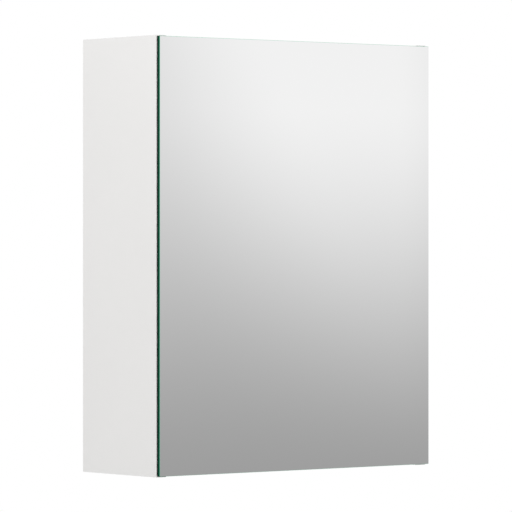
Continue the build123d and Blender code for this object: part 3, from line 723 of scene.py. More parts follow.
@dataclass(frozen=True)
class MetalFinish(Finish):
    """A plated, cast or brushed metal: its colour, how rough it is, and the grain of its surface."""

    colour: Colour
    roughness: tuple[float, float]
    grain_scale: float
    grain_depth: float
    stretch: Triple = EVEN
    stain: float = 0.1

    def surface(self, graph: Graph) -> bpy.types.NodeSocket:
        """Metal whose tone wanders with broad patches, and whose roughness and relief follow the grain."""
        patches = graph.noise(graph.places(), 130.0, 3.0)
        grain = graph.noise(graph.places(self.stretch), self.grain_scale, 3.0)
        stained = scaled(self.colour, 1.0 - self.stain)
        inputs = {
            "Base Color": graph.mix(graph.span(patches, (0.35, 0.7), WHOLE), self.colour, stained),
            "Metallic": 1.0,
            "Roughness": graph.span(grain, NOISE_CORE, self.roughness),
            "Normal": graph.bump(grain, self.grain_depth, 0.6),
        }
        return self.shader(graph, inputs)


@dataclass(frozen=True)
class PlasticFinish(Finish):
    """Moulded plastic with a fine spark-eroded grain."""

    colour: Colour = (0.80, 0.80, 0.785)
    roughness: float = 0.42

    def surface(self, graph: Graph) -> bpy.types.NodeSocket:
        """Even colour, with grain from fine noise and slight flow marks from broad noise."""
        grain = graph.noise(graph.places(), 2400.0, 1.0)
        flow = graph.noise(graph.places((1.0, 1.0, 0.3)), 90.0, 2.0)
        flow_tone = scaled(self.colour, 0.97)
        inputs = {
            "Base Color": graph.mix(graph.span(flow, NOISE_CORE, WHOLE), self.colour, flow_tone),
            "Roughness": graph.span(flow, NOISE_CORE, (self.roughness, self.roughness + 0.06)),
            "Normal": graph.bump(grain, 0.00003, 0.5),
        }
        return self.shader(graph, inputs)


@dataclass(frozen=True)
class ClearPlasticFinish(Finish):
    """See-through plastic, hard and bright or soft and milky."""

    tint: Colour = (0.93, 0.94, 0.94)
    roughness: tuple[float, float] = (0.03, 0.08)
    through: float = 0.95

    def surface(self, graph: Graph) -> bpy.types.NodeSocket:
        """Clear plastic whose surface wanders in roughness."""
        cloud = graph.noise(graph.places(), 500.0, 2.0)
        inputs = {
            "Base Color": graph.mix(cloud, self.tint, scaled(self.tint, 0.95)),
            "Roughness": graph.span(cloud, NOISE_CORE, self.roughness),
            "IOR": 1.49,
            "Transmission Weight": self.through,
        }
        return self.shader(graph, inputs)


@dataclass
class Workshop:
    """Puts meshes and finishes into the scene, and tells the log."""

    frame: dict
    finished: dict[str, bpy.types.Material] = field(default_factory=dict)

    def finish(self, finish: Finish) -> bpy.types.Material:
        """The material of a finish, made once."""
        if finish.name not in self.finished:
            self.finished[finish.name] = finish.material()
        return self.finished[finish.name]

    def solids(self, node: str) -> list[Box]:
        """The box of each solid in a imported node."""
        return solid_boxes(self.frame["nodes"][node])

    def dress(self, finish: Finish, *nodes: str) -> None:
        """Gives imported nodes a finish.

        Args:
            finish: The finish.
            nodes: The nodes' names.
        """
        material = self.finish(finish)
        for name in nodes:
            for slot in self.frame["nodes"][name].material_slots:
                slot.material = material
            log.info("dressed %s in %s", name, finish.name)

    def stand_in(
        self, name: str, solid: Solid, finishes: list[Finish], body: Body, node: str
    ) -> None:
        """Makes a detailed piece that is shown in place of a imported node.

        Args:
            name: The new piece's name.
            solid: Its surface.
            finishes: Its finishes, in the order of the surface's finish numbers.
            body: The body that it moves with.
            node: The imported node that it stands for.
        """
        mesh = bpy.data.meshes.new(name)
        rows = [row for block in solid.faces for row in block.tolist()]
        numbers = np.concatenate([np.full(len(block), n) for block, n in zip(solid.faces, solid.finishes)])
        mesh.from_pydata(solid.points.tolist(), [], rows)
        for finish in finishes:
            mesh.materials.append(self.finish(finish))
        mesh.polygons.foreach_set("material_index", numbers.astype(np.int32))
        mesh.polygons.foreach_set("use_smooth", np.ones(len(rows), bool))
        mesh.set_sharp_from_angle(angle=math.radians(SHARP_DEGREES))
        mesh.update()
        piece = bpy.data.objects.new(name, mesh)
        bpy.context.scene.collection.objects.link(piece)
        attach(piece, body.value)
        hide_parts(node)
        log.info("made %s: %d faces, in place of %s", name, len(rows), node)

    def copies(self, name: str, node: str, finish: Finish, body: Body, make: Callable[[Box], Solid]) -> None:
        """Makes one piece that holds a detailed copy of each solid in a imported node.

        Args:
            name: The new piece's name.
            node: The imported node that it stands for.
            finish: Its finish.
            body: The body that it moves with.
            make: Makes the detailed copy that fills one box.
        """
        self.stand_in(name, joined([make(box) for box in self.solids(node)]), [finish], body, node)


@dataclass
class Palette:
    """The finishes that several sub-assemblies share."""

    nickel: MetalFinish = MetalFinish(
        "nickel_plate", "nickel_plated_steel", (0.72, 0.69, 0.64), (0.17, 0.27), 420.0, 0.000004, stain=0.06
    )
    zinc: MetalFinish = MetalFinish(
        "zinc_plate", "zinc_plated_steel", (0.66, 0.69, 0.72), (0.26, 0.42), 520.0, 0.000008, stain=0.14
    )
    cast: MetalFinish = MetalFinish(
        "cast_zinc", "die_cast_zinc", (0.50, 0.51, 0.52), (0.38, 0.55), 700.0, 0.00002, stain=0.18
    )
    brushed: MetalFinish = MetalFinish(
        "satin_aluminium",
        "anodised_aluminium",
        (0.77, 0.78, 0.79),
        (0.28, 0.42),
        1500.0,
        0.000006,
        stretch=(1.0, 1.0, 0.03),
        stain=0.04,
    )
    white_plastic: PlasticFinish = PlasticFinish("white_plastic", "white_plastic")
    clear_plastic: ClearPlasticFinish = ClearPlasticFinish("clear_plastic", "clear_plastic")
    soft_plastic: ClearPlasticFinish = ClearPlasticFinish(
        "clear_soft_plastic", "clear_soft_plastic", (0.88, 0.885, 0.875), (0.30, 0.42), 0.45
    )
    beech: BeechFinish = BeechFinish("beech", "beech")


@dataclass
class Carcass:
    """Sides, top, bottom, back and rails, each with the bare core that its hidden edges show."""

    shop: Workshop

    def board(self, node: str, thin: Axis, raw: RawFaces) -> None:
        """Dresses one board.

        Args:
            node: The board's node.
            thin: The direction of its thickness.
            raw: The edges that show its core.
        """
        lacquer = BoardFinish("lacquer_" + node, "white_lacquered_board", node_box(node), thin, raw)
        self.shop.dress(lacquer, node)

    def build(self) -> None:
        """Dresses every board of the carcass."""
        for node in ("side_panel_left", "side_panel_right"):
            self.board(node, Axis.ACROSS, RawFaces.REAR)
        for node in ("top_panel", "bottom_panel"):
            self.board(node, Axis.HEIGHT, RawFaces.REAR)
        for node in ("upper_rear_rail", "lower_rear_rail"):
            self.board(node, Axis.DEPTH, RawFaces.LONG_EDGES)
        self.shop.dress(HardboardFinish("white_hardboard", "white_back_board"), "back_panel")


@dataclass
class MirrorDoor:
    """Two mirror panes bonded back to back: silvered faces in a ground edge with two arrises."""

    shop: Workshop
    corner: float = 0.8 * MM
    arris: float = 0.4 * MM
    bow: float = 0.06 * MM
    corner_steps: int = 7
    edge_steps: int = 9

    def outline(self, box: Box, inset: Array) -> Array:
        """The pane's outline at several insets: a rectangle with a quarter circle at each corner.

        Each corner's centre lies one corner radius inside both edges, and a point of the corner is
        that centre plus the radius, less the inset, along the corner's angle.

        Args:
            box: The pane's box.
            inset: How far inside the widest outline each row lies.

        Returns:
            Points as (row, place round the outline, across and height).
        """
        turns = np.linspace(0, math.pi / 2, self.corner_steps)
        angle = np.concatenate([turns + quarter * math.pi / 2 for quarter in range(4)])
        sign_x = np.repeat([1, -1, -1, 1], self.corner_steps)
        sign_z = np.repeat([1, 1, -1, -1], self.corner_steps)
        half = box.size / 2 - self.corner
        radius = self.corner - inset[:, None]
        across = box.middle[0] + sign_x * half[0] + radius * np.cos(angle)
        height = box.middle[2] + sign_z * half[2] + radius * np.sin(angle)
        return np.stack([across, height], axis=2)

    def pane(self, box: Box) -> Solid:
        """One pane: the edge's profile carried round the outline, closed by two flat faces.

        The profile runs from one face down its arris, across the edge, which bows out by the sine of
        the way across, and up the other arris.

        Args:
            box: The pane's box.

        Returns:
            The closed pane, with the faces as finish 0 and the ground edge as finish 1.
        """
        way = np.linspace(0, 1, self.edge_steps)
        flat = self.bow * (1 - np.sin(way * math.pi))
        inset = np.concatenate([[self.arris], flat, [self.arris]])
        low, high = box.low[1], box.high[1]
        depth = np.concatenate([[low], low + self.arris + way * (high - low - 2 * self.arris), [high]])
        outline = self.outline(box, inset)
        across, height = outline[..., 0], outline[..., 1]
        rows = np.stack([across, depth[:, None] + 0 * across, height], axis=2)
        count, columns = rows.shape[:2]
        edge = grid_faces(count, columns, False)
        front = np.arange(columns)[None, :]
        rear = (np.arange(columns) + (count - 1) * columns)[None, ::-1]
        solid = Solid(rows.reshape(-1, 3), [edge, front[:, ::-1], rear[:, ::-1]], [1, 0, 0])
        return solid.outward()

    def build(self) -> None:
        """Makes both panes and dresses the film between them."""
        face = SilveredGlassFinish("silvered_glass", "mirror_glass")
        front, rear = node_box("door_front_mirror"), node_box("door_rear_mirror")
        # The front edge's bottle green is the glass's own colour; its ramp is painted shade by the silver and
        # painted light by the open face.
        front_edge = GlassEdgeFinish(
            "front_glass_edge",
            "mirror_glass",
            silver_y=float(front.high[1]),
            open_y=float(front.low[1]),
            painted_shade_at_silver=linear(4, 84, 58),
            painted_light_at_face=linear(30, 104, 78),
            # A pale painted highlight on the front pane's open arris.
            arris=linear(128, 196, 168),
        )
        # The rear edge's three colours are the glass green darkened with painted shade from the door gap.
        rear_edge_in_painted_shade = GlassEdgeFinish(
            "rear_glass_edge_in_painted_shade",
            "mirror_glass",
            silver_y=float(rear.high[1]),
            open_y=float(rear.low[1]),
            painted_shade_at_silver=linear(1, 22, 13),
            painted_light_at_face=linear(2, 30, 19),
            arris=linear(4, 38, 25),
        )
        stand_in = self.shop.stand_in
        stand_in("front_mirror_pane", self.pane(front), [face, front_edge], Body.DOOR, "door_front_mirror")
        stand_in("rear_mirror_pane", self.pane(rear), [face, rear_edge_in_painted_shade], Body.DOOR, "door_rear_mirror")
        self.shop.dress(FilmFinish("bonding_film", "bonding_film"), "door_bonding_film")


@dataclass(frozen=True)
class ScrewKind:
    """The measures of one kind of screw that its box does not give.

    A grub screw has no wider head: its recessed part takes a share of its length.
    """

    pitch: float
    dome: float
    head: float = 0.0
    shank: float = 0.0
    grub_share: float = 0.0


@dataclass
class ScrewMaker:
    """Screws with a domed head, a cross recess and a thread, made about Z with the head's top at z = 0."""

    sides: int = 48
    head_rows: int = 16
    turns_rows: int = 8
    head_middle_share: float = 0.04
    recess_depth_share: float = 0.62
    recess_reach_share: float = 0.58
    recess_rise: float = 0.45
    wing_share: float = 0.15
    soft_share: float = 0.05
    rim_height_share: float = 0.9
    rim_foot_share: float = 0.97
    thread_share: float = 0.22
    crest_slope: float = 2.6
    tip_share: float = 0.72
    tip_rows: int = 6

    def head_top(self, radius: float, dome: float, depth: float) -> Array:
        """The top of a head: a shallow dome less a cross-shaped recess.

        A point's height is minus the dome's rise times the square of its share of the radius. The
        recess is cut where the point is near either arm of the cross: its depth eases from nothing
        to all over a soft edge, and falls away towards the arm's end.

        Args:
            radius: The head's radius.
            dome: How far the dome falls from its middle to its rim.
            depth: How deep the recess is.

        Returns:
            Points as (row from the middle outwards, angle, axis).
        """
        share = np.linspace(self.head_middle_share, 1.0, self.head_rows)[:, None]
        angle = round_angles(self.sides)[None, :]
        x, y = share * np.cos(angle), share * np.sin(angle)
        off_arm = np.minimum(np.abs(x), np.abs(y))
        inside = np.clip((self.wing_share - off_arm) / self.soft_share, 0, 1)
        ending = np.clip((self.recess_reach_share - share) / (self.soft_share * 3), 0, 1)
        cut = depth * inside * ending * (1 - self.recess_rise * share)
        return np.stack([x * radius, y * radius, -dome * share**2 - cut], axis=2)

    def shank(self, radius: float, start: float, end: float, pitch: float, thread: float) -> Array:
        """A threaded shank: its radius rises to a crest once in each turn.

        The crest's share is one minus a slope times the distance from the nearest crest line, in
        pitches, where the crest line climbs one pitch in a turn. It fades out at both ends, and the
        last rows narrow to a blunt tip.

        Args:
            radius: The crest's radius.
            start: Where the shank starts.
            end: Where its blunt tip ends.
            pitch: The thread's rise in one turn.
            thread: How far the crest stands above the core.

        Returns:
            Points as (row, angle, axis).
        """
        count = max(4, int(abs(end - start) / pitch * self.turns_rows))
        way = np.linspace(0, 1, count)[:, None]
        angle = round_angles(self.sides)[None, :]
        along = start + (end - start) * way
        phase = np.abs(along) / pitch - angle / (2 * math.pi)
        crest = np.clip(1 - self.crest_slope * np.abs(phase - np.round(phase)), 0, 1)
        fade = np.clip(np.minimum(way, 1 - way) * count / self.turns_rows, 0, 1)
        reach = radius - thread * (1 - crest * fade)
        reach = reach * np.clip(self.tip_share + (1 - way) * count / self.tip_rows, 0, 1)
        return np.stack([reach * np.cos(angle), reach * np.sin(angle), along + 0 * angle], axis=2)

    def screw(self, box: Box, axis: Axis, side: int, kind: ScrewKind) -> Solid:
        """A whole screw that fills its box.

        Args:
            box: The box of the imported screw.
            axis: The direction of its length, across or depth.
            side: The end of the box that its head's top lies at.
            kind: What the box does not tell.

        Returns:
            The closed screw in the cabinet's frame.
        """
        width = box.size[Axis.DEPTH.value if axis is Axis.ACROSS else Axis.ACROSS.value]
        head_radius, length = float(width) / 2, float(box.size[axis.value])
        grub = kind.grub_share > 0
        head = length * kind.grub_share if grub else kind.head
        radius = head_radius if grub else kind.shank
        top = self.head_top(head_radius, kind.dome, head * self.recess_depth_share)
        foot = [head_radius * self.rim_foot_share, -head]
        rim_points = [[head_radius, -head * self.rim_height_share], foot]
        rim = spun(np.array(rim_points), self.sides)
        shank = self.shank(radius, -head, -length, kind.pitch, radius * self.thread_share)
        return Place(box.face(axis, side), axis, side).carry(capped(np.concatenate([top, rim, shank])))


@dataclass
class Shelves:
    """Glass shelves on turned pins with clear sleeves."""

    shop: Workshop
    palette: Palette
    collar: float = 1.2 * MM
    collar_radius: float = 3.5 * MM
    collar_round: float = 0.35 * MM
    nose_chamfer: float = 0.5 * MM
    groove_depth: float = 0.18 * MM
    groove_count: int = 4
    groove_steps: int = 8
    pin_radius: float = 2.5 * MM
    sleeve_round: float = 0.3 * MM
    sides: int = 36

    def pin_profile(self, insert: float, nose: float) -> Array:
        """A pin's outline from its insert to its nose, with the board's face at 0.

        The insert carries shallow grooves: its radius falls by a squared sine along its length.

        Args:
            insert: How far the pin goes into the board.
            nose: How far it stands out of the board, collar included.

        Returns:
            Points as (radius, place along the pin).
        """
        way = np.linspace(0, 1, self.groove_count * self.groove_steps + 1)
        ribbed = self.pin_radius - self.groove_depth * np.sin(way * math.pi * self.groove_count) ** 2
        start = np.array([[self.pin_radius - self.nose_chamfer, -insert]])
        ribbed_along = -insert + self.nose_chamfer + way * (insert - 2 * self.nose_chamfer)
        grooved = np.stack([ribbed, ribbed_along], axis=1)
        foot = np.array([[self.pin_radius, 0.0], [self.collar_radius, 0.0]])
        rim = self.collar_radius - self.collar_round
        rounding = arc((rim, self.collar - self.collar_round), self.collar_round, 0, 90, ROUND_STEPS)
        neck = np.array([[self.pin_radius, self.collar], [self.pin_radius, nose - self.nose_chamfer]])
        tip = np.array([[self.pin_radius - self.nose_chamfer, nose]])
        return np.vstack([start, grooved, foot, rounding, neck, tip])

    def pin(self, box: Box) -> Solid:
        """The pin that fills one box, from its insert in the side panel to its nose."""
        solid = capped(spun(self.pin_profile(*beyond_panel(box)), self.sides))
        return panel_place(box, -box.side_of_middle).carry(solid)

    def sleeve(self, box: Box) -> Solid:
        """The sleeve that fills one box: a wall whose section is a rectangle with round outer corners.

        Args:
            box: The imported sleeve's box.

        Returns:
            The sleeve, which starts at its end nearest the panel.
        """
        length, outer = float(box.size[0]), float(box.size[2]) / 2
        centre = outer - self.sleeve_round
        near = arc((centre, self.sleeve_round), self.sleeve_round, -90, 0, ROUND_STEPS)
        far = arc((centre, length - self.sleeve_round), self.sleeve_round, 0, 90, ROUND_STEPS)
        inner = np.array([[self.pin_radius, length], [self.pin_radius, 0.0]])
        side = -box.side_of_middle
        place = Place(box.face(Axis.ACROSS, -side), Axis.ACROSS, side)
        return place.carry(ring(spun(np.vstack([near, far, inner]), self.sides)))

    def build(self) -> None:
        """Dresses the shelves and makes the pins and sleeves."""
        glass = ShelfGlassFinish("shelf_glass", "shelf_glass")
        self.shop.dress(glass, "glass_shelf_lower", "glass_shelf_upper")
        copies = self.shop.copies
        copies("turned_shelf_pins", "shelf_pins", self.palette.nickel, Body.CABINET, self.pin)
        clear = self.palette.clear_plastic
        copies("clear_pin_sleeves", "shelf_pin_sleeves", clear, Body.CABINET, self.sleeve)


def beyond_panel(box: Box) -> tuple[float, float]:
    """How far a fitting goes into its side panel, and how far it stands out towards the middle.

    Args:
        box: The fitting's box.

    Returns:
        Both lengths.
    """
    ends = np.abs([box.low[0], box.high[0]])
    inner_x = float(node_box("side_panel_right").low[0])
    return float(ends.max()) - inner_x, inner_x - float(ends.min())


def panel_place(box: Box, side: int) -> Place:
    """The place of a fitting that is measured from the inner face of its side panel.

    Args:
        box: The fitting's box.
        side: The way that its own axis points.

    Returns:
        The place, at the fitting's middle on the panel's face.
    """
    face = box.side_of_middle * float(node_box("side_panel_right").low[0])
    return Place(np.array([face, box.middle[1], box.middle[2]]), Axis.ACROSS, side)


@dataclass
class CornerFittings:
    """Fluted dowels, cam bolts, cams and caps that join the boards."""

    shop: Workshop
    palette: Palette
    flutes: int = 20
    flute_steps: int = 4
    flute_depth: float = 0.28 * MM
    dowel_taper: float = 1.0 * MM
    dowel_taper_slope: float = 0.7
    bolt_thread: float = 0.55 * MM
    bolt_pitch: float = 1.9 * MM
    bolt_insert_radius: float = 2.5 * MM
    bolt_chamfer: float = 0.4 * MM
    bolt_stem_radius: float = 1.5 * MM
    bolt_shank_radius: float = 3.0 * MM
    bolt_stem_length: float = 7.5 * MM
    bolt_head: float = 1.5 * MM
    bolt_head_radius: float = 2.25 * MM
    cap_round: float = 0.3 * MM
    cap_ring: float = 0.15 * MM
    cap_ring_share: float = 0.72
    cap_ring_width_share: float = 0.03
    cap_middle_share: float = 0.1
    cap_ring_steps: int = 9
    sides: int = 40

    def dowel(self, box: Box) -> Solid:
        """A fluted dowel: its radius falls by the flutes' depth times a squared sine round it.

        Both ends taper: the radius is cut by what the end's distance lacks of the taper's length.

        Args:
            box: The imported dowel's box.

        Returns:
            The dowel, which fills its box.
        """
        radius, length = float(box.size[1]) / 2, float(box.size[0])
        angle = round_angles(self.flutes * self.flute_steps)[None, :]
        edge = self.dowel_taper
        along = np.array([0.0, edge / 2, edge, length / 2, length - edge, length - edge / 2, length])[:, None]
        from_end = np.minimum(along, length - along)
        taper = np.clip(edge - from_end, 0, edge) * self.dowel_taper_slope
        reach = radius - taper - self.flute_depth * np.sin(angle * self.flutes / 2) ** 2
        rows = np.stack([reach * np.cos(angle), reach * np.sin(angle), along + 0 * angle], axis=2)
        return Place(box.face(Axis.ACROSS, -1), Axis.ACROSS, 1).carry(capped(rows))

    def bolt(self, box: Box) -> Solid:
        """A cam bolt from its threaded insert, through its shank and thin stem, to its round head.

        Args:
            box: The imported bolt's box.

        Returns:
            The bolt, which fills its box.
        """
        insert, reach = beyond_panel(box)
        maker = ScrewMaker(sides=self.sides)
        thread = maker.shank(self.bolt_insert_radius, insert, 0.0, self.bolt_pitch, self.bolt_thread)
        bevel = self.bolt_chamfer
        head_start = self.bolt_head - reach
        shank_end = head_start + self.bolt_stem_length
        profile = np.array(
            [
                [self.bolt_shank_radius, 0.0],
                [self.bolt_shank_radius, shank_end + bevel],
                [self.bolt_shank_radius - bevel, shank_end],
                [self.bolt_stem_radius, shank_end],
                [self.bolt_stem_radius, head_start],
                [self.bolt_head_radius, head_start],
                [self.bolt_head_radius, bevel - reach],
                [self.bolt_head_radius - bevel, -reach],
            ]
        )
        solid = capped(np.concatenate([thread, spun(profile, self.sides)]))
        return panel_place(box, box.side_of_middle).carry(solid)

    def cap(self, box: Box) -> Solid:
        """A flush cap with a rounded rim and one shallow ring, whose valley is a sine across it.

        Args:
            box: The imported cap's box.

        Returns:
            The cap, which fills its box and faces away from the cabinet's middle.
        """
        radius, height = float(box.size[0]) / 2, float(box.size[2])
        side = 1 if box.middle[2] > 0 else -1
        rim = arc((radius - self.cap_round, height - self.cap_round), self.cap_round, 0, 90, ROUND_STEPS)
        way = np.linspace(0, math.pi, self.cap_ring_steps)
        across = radius * self.cap_ring_share - way * radius * self.cap_ring_width_share
        valley = np.stack([across, height - self.cap_ring * np.sin(way)], axis=1)
        foot = [[radius - self.cap_round, 0.0], [radius, 0.0]]
        profile = np.vstack([foot, rim, valley, [[radius * self.cap_middle_share, height]]])
        place = Place(box.face(Axis.HEIGHT, -side), Axis.HEIGHT, side)
        return place.carry(capped(spun(profile, self.sides)))

    def build(self) -> None:
        """Dresses the cams, and makes the dowels, bolts and caps."""
        self.shop.dress(self.palette.cast, "cam_discs")
        copies = self.shop.copies
        copies("fluted_dowels", "wooden_dowels", self.palette.beech, Body.CABINET, self.dowel)
        copies("threaded_cam_bolts", "cam_bolts", self.palette.zinc, Body.CABINET, self.bolt)
        copies("ringed_cam_caps", "cam_caps", self.palette.white_plastic, Body.CABINET, self.cap)


@dataclass
class WallHangers:
    """Cast hanger cases with steel hooks, their screws and their white covers."""

    shop: Workshop
    palette: Palette
    adjusting: ScrewKind = ScrewKind(pitch=1.0 * MM, dome=0.1 * MM, grub_share=0.3)
    fixing: ScrewKind = ScrewKind(pitch=1.8 * MM, dome=0.3 * MM, head=2.4 * MM, shank=2.0 * MM)

    def build(self) -> None:
        """Dresses the cases, hooks and covers, and makes the screws."""
        self.shop.dress(self.palette.cast, "hanger_cases")
        self.shop.dress(self.palette.zinc, "hanger_hooks")
        self.shop.dress(self.palette.white_plastic, "hanger_covers")
        maker, zinc = ScrewMaker(), self.palette.zinc
        self.shop.copies(
            "cross_adjusting_screws",
            "hanger_adjusting_screws",
            zinc,
            Body.CABINET,
            lambda box: maker.screw(box, Axis.DEPTH, -1, self.adjusting),
        )
        self.shop.copies(
            "cross_fixing_screws",
            "hanger_fixing_screws",
            zinc,
            Body.CABINET,
            lambda box: maker.screw(box, Axis.ACROSS, -box.side_of_middle, self.fixing),
        )


@dataclass
class ConcealedHinges:
    """The two hinges: pressed arms and links, riveted pins, and screws with cross recesses."""

    shop: Workshop
    palette: Palette
    rivet_round: float = 0.45 * MM
    rivet_round_share: float = 0.6
    plate: ScrewKind = ScrewKind(pitch=1.9 * MM, dome=0.7 * MM, head=2.2 * MM, shank=2.5 * MM)
    arm: ScrewKind = ScrewKind(pitch=1.0 * MM, dome=0.15 * MM, grub_share=0.5)
    cup: ScrewKind = ScrewKind(pitch=0.8 * MM, dome=0.5 * MM, head=2.0 * MM, shank=2.0 * MM)
    sides: int = 32

    def rivet(self, box: Box) -> Solid:
        """A pin with both ends rounded over by a quarter circle.

        Args:
            box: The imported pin's box.

        Returns:
            The pin, which fills its box.
        """
        radius, length = float(box.size[0]) / 2, float(box.size[2])
        bend = min(self.rivet_round, radius * self.rivet_round_share)
        low = arc((radius - bend, bend), bend, -90, 0, ROUND_STEPS)
        high = arc((radius - bend, length - bend), bend, 0, 90, ROUND_STEPS)
        solid = capped(spun(np.vstack([low, high]), self.sides))
        return Place(box.face(Axis.HEIGHT, -1), Axis.HEIGHT, 1).carry(solid)

    def build(self) -> None:
        """Dresses the pressed parts and makes the rivets and screws."""
        pressed = ("mounting_plates", "arms", "arm_covers", "outer_links", "inner_links", "cups")
        self.shop.dress(self.palette.nickel, *("hinge_" + part for part in pressed))
        self.shop.dress(self.palette.brushed, "hinge_adhesive_plates")
        rivets = (
            ("front_arm_rivets", "hinge_arm_pins_front", Body.CABINET),
            ("rear_arm_rivets", "hinge_arm_pins_rear", Body.CABINET),
            ("outer_link_rivets", "hinge_outer_link_pins", Body.DOOR),
            ("inner_link_rivets", "hinge_inner_link_pins", Body.DOOR),
        )
        for name, node, body in rivets:
            self.shop.copies(name, node, self.palette.nickel, body, self.rivet)
        maker = ScrewMaker()
        screws = (
            ("plate", Body.CABINET, Axis.ACROSS, -1, self.plate),
            ("arm", Body.CABINET, Axis.ACROSS, -1, self.arm),
            ("cup", Body.DOOR, Axis.DEPTH, 1, self.cup),
        )
        for part, body, axis, side, kind in screws:
            make = partial(maker.screw, axis=axis, side=side, kind=kind)
            self.shop.copies(f"cross_{part}_screws", f"hinge_{part}_screws", self.palette.zinc, body, make)


@dataclass
class DoorBumpers:
    """Clear domes that the door closes against."""

    shop: Workshop
    palette: Palette
    foot: float = 0.25 * MM
    foot_share: float = 0.9
    middle_share: float = 0.05
    steps: int = 10
    sides: int = 32

    def dome(self, box: Box) -> Solid:
        """A low dome: above a short upright foot, its height falls with the square of the radius's share.

        Args:
            box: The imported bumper's box.

        Returns:
            The dome, which stands on the panel's front edge.
        """
        radius, height = float(box.size[0]) / 2, float(box.size[1])
        share = np.linspace(1, self.middle_share, self.steps)
        rise = self.foot + (height - self.foot) * (1 - share**2)
        foot = [[radius * self.foot_share, 0.0], [radius, 0.0]]
        profile = np.vstack([foot, np.stack([radius * share, rise], axis=1)])
        return Place(box.face(Axis.DEPTH, 1), Axis.DEPTH, -1).carry(capped(spun(profile, self.sides)))

    def build(self) -> None:
        """Makes the bumpers."""
        soft = self.palette.soft_plastic
        self.shop.copies("domed_bumpers", "door_bumpers", soft, Body.CABINET, self.dome)


@dataclass(frozen=True)
class FloorFinish(Finish):
    """A plain pale studio floor that fades away towards its rim."""

    pale: Colour = (0.80, 0.80, 0.80)
    fade_from: float = 1.2
    fade_to: float = 2.9

    def surface(self, graph: Graph) -> bpy.types.NodeSocket:
        """A soft pale surface that turns clear with the distance from the middle."""
        point = graph.places((1.0, 1.0, 0.0))
        distance = graph.add("ShaderNodeVectorMath", {0: point}, operation="LENGTH").outputs["Value"]
        gone = graph.span(distance, (self.fade_from, self.fade_to), WHOLE, True)
        pale = self.shader(graph, {"Base Color": rgba(self.pale), "Roughness": 0.7})
        clear = graph.add("ShaderNodeBsdfTransparent").outputs[0]
        return graph.add("ShaderNodeMixShader", {0: gone, 1: pale, 2: clear}).outputs[0]


@dataclass(frozen=True)
class Lamp:
    """One soft square light: where it stands, the point that it faces, its side and its power in watts."""

    name: str
    place: tuple[float, float, float]
    aim: tuple[float, float, float]
    size: float
    power: float


@dataclass(frozen=True)
class Room:
    """The light that the mirror shows, by how far a direction climbs and how far it turns to the right.

    Each pair is where a change starts and where it ends, as a share of the direction's length.
    """

    dim: float = 0.3665
    bright: float = 0.955
    climb: tuple[float, float] = (-0.0629, 0.0325)
    eased_share: float = 0.65
    panel: tuple[float, float] = (-0.0326, 0.0254)
    panel_lean: float = 0.396
    panel_loss: float = 0.377
    corner: tuple[float, float] = (0.0351, 0.0510)
    corner_loss: float = 0.11


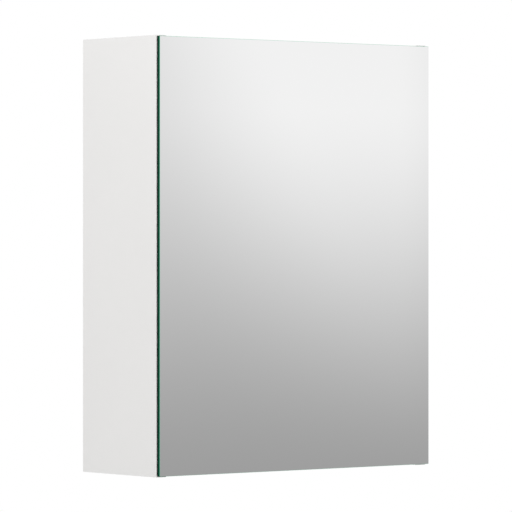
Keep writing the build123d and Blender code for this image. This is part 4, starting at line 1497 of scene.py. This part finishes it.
@dataclass
class Studio:
    """The photographer's side: camera, soft lights, surroundings and a plain pale floor."""

    shop: Workshop
    view_azimuth: float = -38.809
    eye: tuple[float, float, float] = (-3.2049, -4.0603, -0.2065)
    sensor: float = 36.0
    lens: float = 274.9
    frame_px: float = 512.0
    horizon_px: float = 236.7
    floor_below: float = 1.3
    floor_radius: float = 3.0
    floor_middle: float = 0.02
    floor_rings: int = 12
    floor_spokes: int = 64
    room: Room = Room()
    lamps: tuple[Lamp, ...] = (
        Lamp("left_softbox", (-1.9, -0.9, 1.5), (-0.22, -0.08, -0.12), 1.2, 32.0),
        Lamp("front_fill", (1.6, -2.6, 1.2), (0.1, -0.1, -0.2), 1.8, 9.0),
        Lamp("rear_fill", (1.0, 2.6, 1.4), (0.0, 0.0, -0.2), 1.8, 12.0),
    )

    def camera(self) -> None:
        """A level camera whose lens is shifted so that the horizon lies where the photograph has it."""
        data = bpy.data.cameras.new("photo_camera")
        data.sensor_width = self.sensor
        data.lens = self.lens
        data.shift_y = (self.horizon_px - self.frame_px / 2) / self.frame_px
        data.clip_start, data.clip_end = 0.1, 100.0
        camera = bpy.data.objects.new("photo_camera", data)
        turn = math.radians(self.view_azimuth)
        camera.location = self.eye
        camera.rotation_euler = (math.pi / 2, 0.0, turn)
        bpy.context.scene.collection.objects.link(camera)
        bpy.context.scene.camera = camera

    def surroundings(self) -> None:
        """White behind the object, and for everything else a room that is bright above and dim below.

        The room's light rises from dim to bright as a direction climbs past the horizon, partly on an
        eased ramp and partly on a straight one. The rise is less to the left of a leaning panel's soft
        edge, and a little less again towards a corner of the room on the right.
        """
        room = self.room
        world = bpy.data.worlds.new("studio_room")
        world.use_nodes = True
        bpy.context.scene.world = world
        graph = Graph(world.node_tree)
        direction = graph.add("ShaderNodeTexCoord").outputs["Generated"]
        height = graph.axes(direction)[2]
        turn = math.radians(-self.view_azimuth)
        right = (math.cos(turn), math.sin(turn), 0.0)
        dot = graph.add("ShaderNodeVectorMath", {0: direction, 1: right}, operation="DOT_PRODUCT")
        beside = dot.outputs["Value"]
        leaning = graph.sums("MULTIPLY_ADD", height, room.panel_lean, beside)
        panel = graph.span(leaning, room.panel, (1.0 - room.panel_loss, 1.0), True)
        corner = graph.span(beside, room.corner, (1.0, 1.0 - room.corner_loss), True)
        gain = room.bright - room.dim
        eased = graph.span(height, room.climb, (0.0, gain * room.eased_share), True)
        straight = graph.span(height, room.climb, (0.0, gain * (1.0 - room.eased_share)))
        share = graph.sums("MULTIPLY", panel, corner)
        rise = graph.sums("MULTIPLY", graph.sums("ADD", eased, straight), share)
        strength = graph.sums("ADD", rise, room.dim)
        white_light = rgba((1.0, 1.0, 1.0))
        around = graph.add("ShaderNodeBackground", {"Color": white_light, "Strength": strength}).outputs[0]
        white = graph.add("ShaderNodeBackground", {"Color": white_light, "Strength": 1.0}).outputs[0]
        seen = graph.add("ShaderNodeLightPath").outputs["Is Camera Ray"]
        surface = graph.add("ShaderNodeMixShader", {0: seen, 1: around, 2: white}).outputs[0]
        graph.add("ShaderNodeOutputWorld", {"Surface": surface})

    def light(self, lamp: Lamp) -> None:
        """Sets up one lamp that no mirror shows."""
        data = bpy.data.lights.new(lamp.name, "AREA")
        data.size = lamp.size
        data.energy = lamp.power
        made = bpy.data.objects.new(lamp.name, data)
        made.location = lamp.place
        made.rotation_euler = (Vector(lamp.aim) - Vector(lamp.place)).to_track_quat("-Z", "Y").to_euler()
        made.visible_glossy = False
        bpy.context.scene.collection.objects.link(made)

    def floor(self, low: float) -> None:
        """A round floor below the cabinet: a grid of rings and spokes, flat at one height.

        Args:
            low: The height of the object's lowest point.
        """
        radius = np.linspace(self.floor_middle, self.floor_radius, self.floor_rings)[:, None]
        angle = round_angles(self.floor_spokes)[None, :]
        height = low - self.floor_below
        rows = np.stack([radius * np.cos(angle), radius * np.sin(angle), height + 0 * radius * angle], axis=2)
        mesh = bpy.data.meshes.new("studio_floor")
        faces = grid_faces(rows.shape[0], rows.shape[1], False).tolist()
        faces.append(list(range(rows.shape[1])))
        mesh.from_pydata(rows.reshape(-1, 3).tolist(), [], faces)
        mesh.materials.append(self.shop.finish(FloorFinish("studio_floor", "")))
        floor = bpy.data.objects.new("studio_floor", mesh)
        bpy.context.scene.collection.objects.link(floor)
        floor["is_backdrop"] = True

    def build(self, low: float) -> None:
        """Sets up the whole studio around an object whose lowest point is given."""
        bpy.context.scene.view_settings.view_transform = "Standard"
        self.camera()
        self.surroundings()
        self.floor(low)
        for lamp in self.lamps:
            self.light(lamp)
        log.info("studio ready")


def main() -> None:
    """Builds the cabinet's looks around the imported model, one sub-assembly after another."""
    logging.basicConfig(level=logging.INFO, format="%(name)s: %(message)s")
    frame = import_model()
    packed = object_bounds()
    shop = Workshop(frame)
    palette = Palette()
    Studio(shop).build(float(packed[0].z))
    Carcass(shop).build()
    MirrorDoor(shop).build()
    Shelves(shop, palette).build()
    CornerFittings(shop, palette).build()
    WallHangers(shop, palette).build()
    ConcealedHinges(shop, palette).build()
    DoorBumpers(shop, palette).build()


if __name__ == "__main__":
    main()
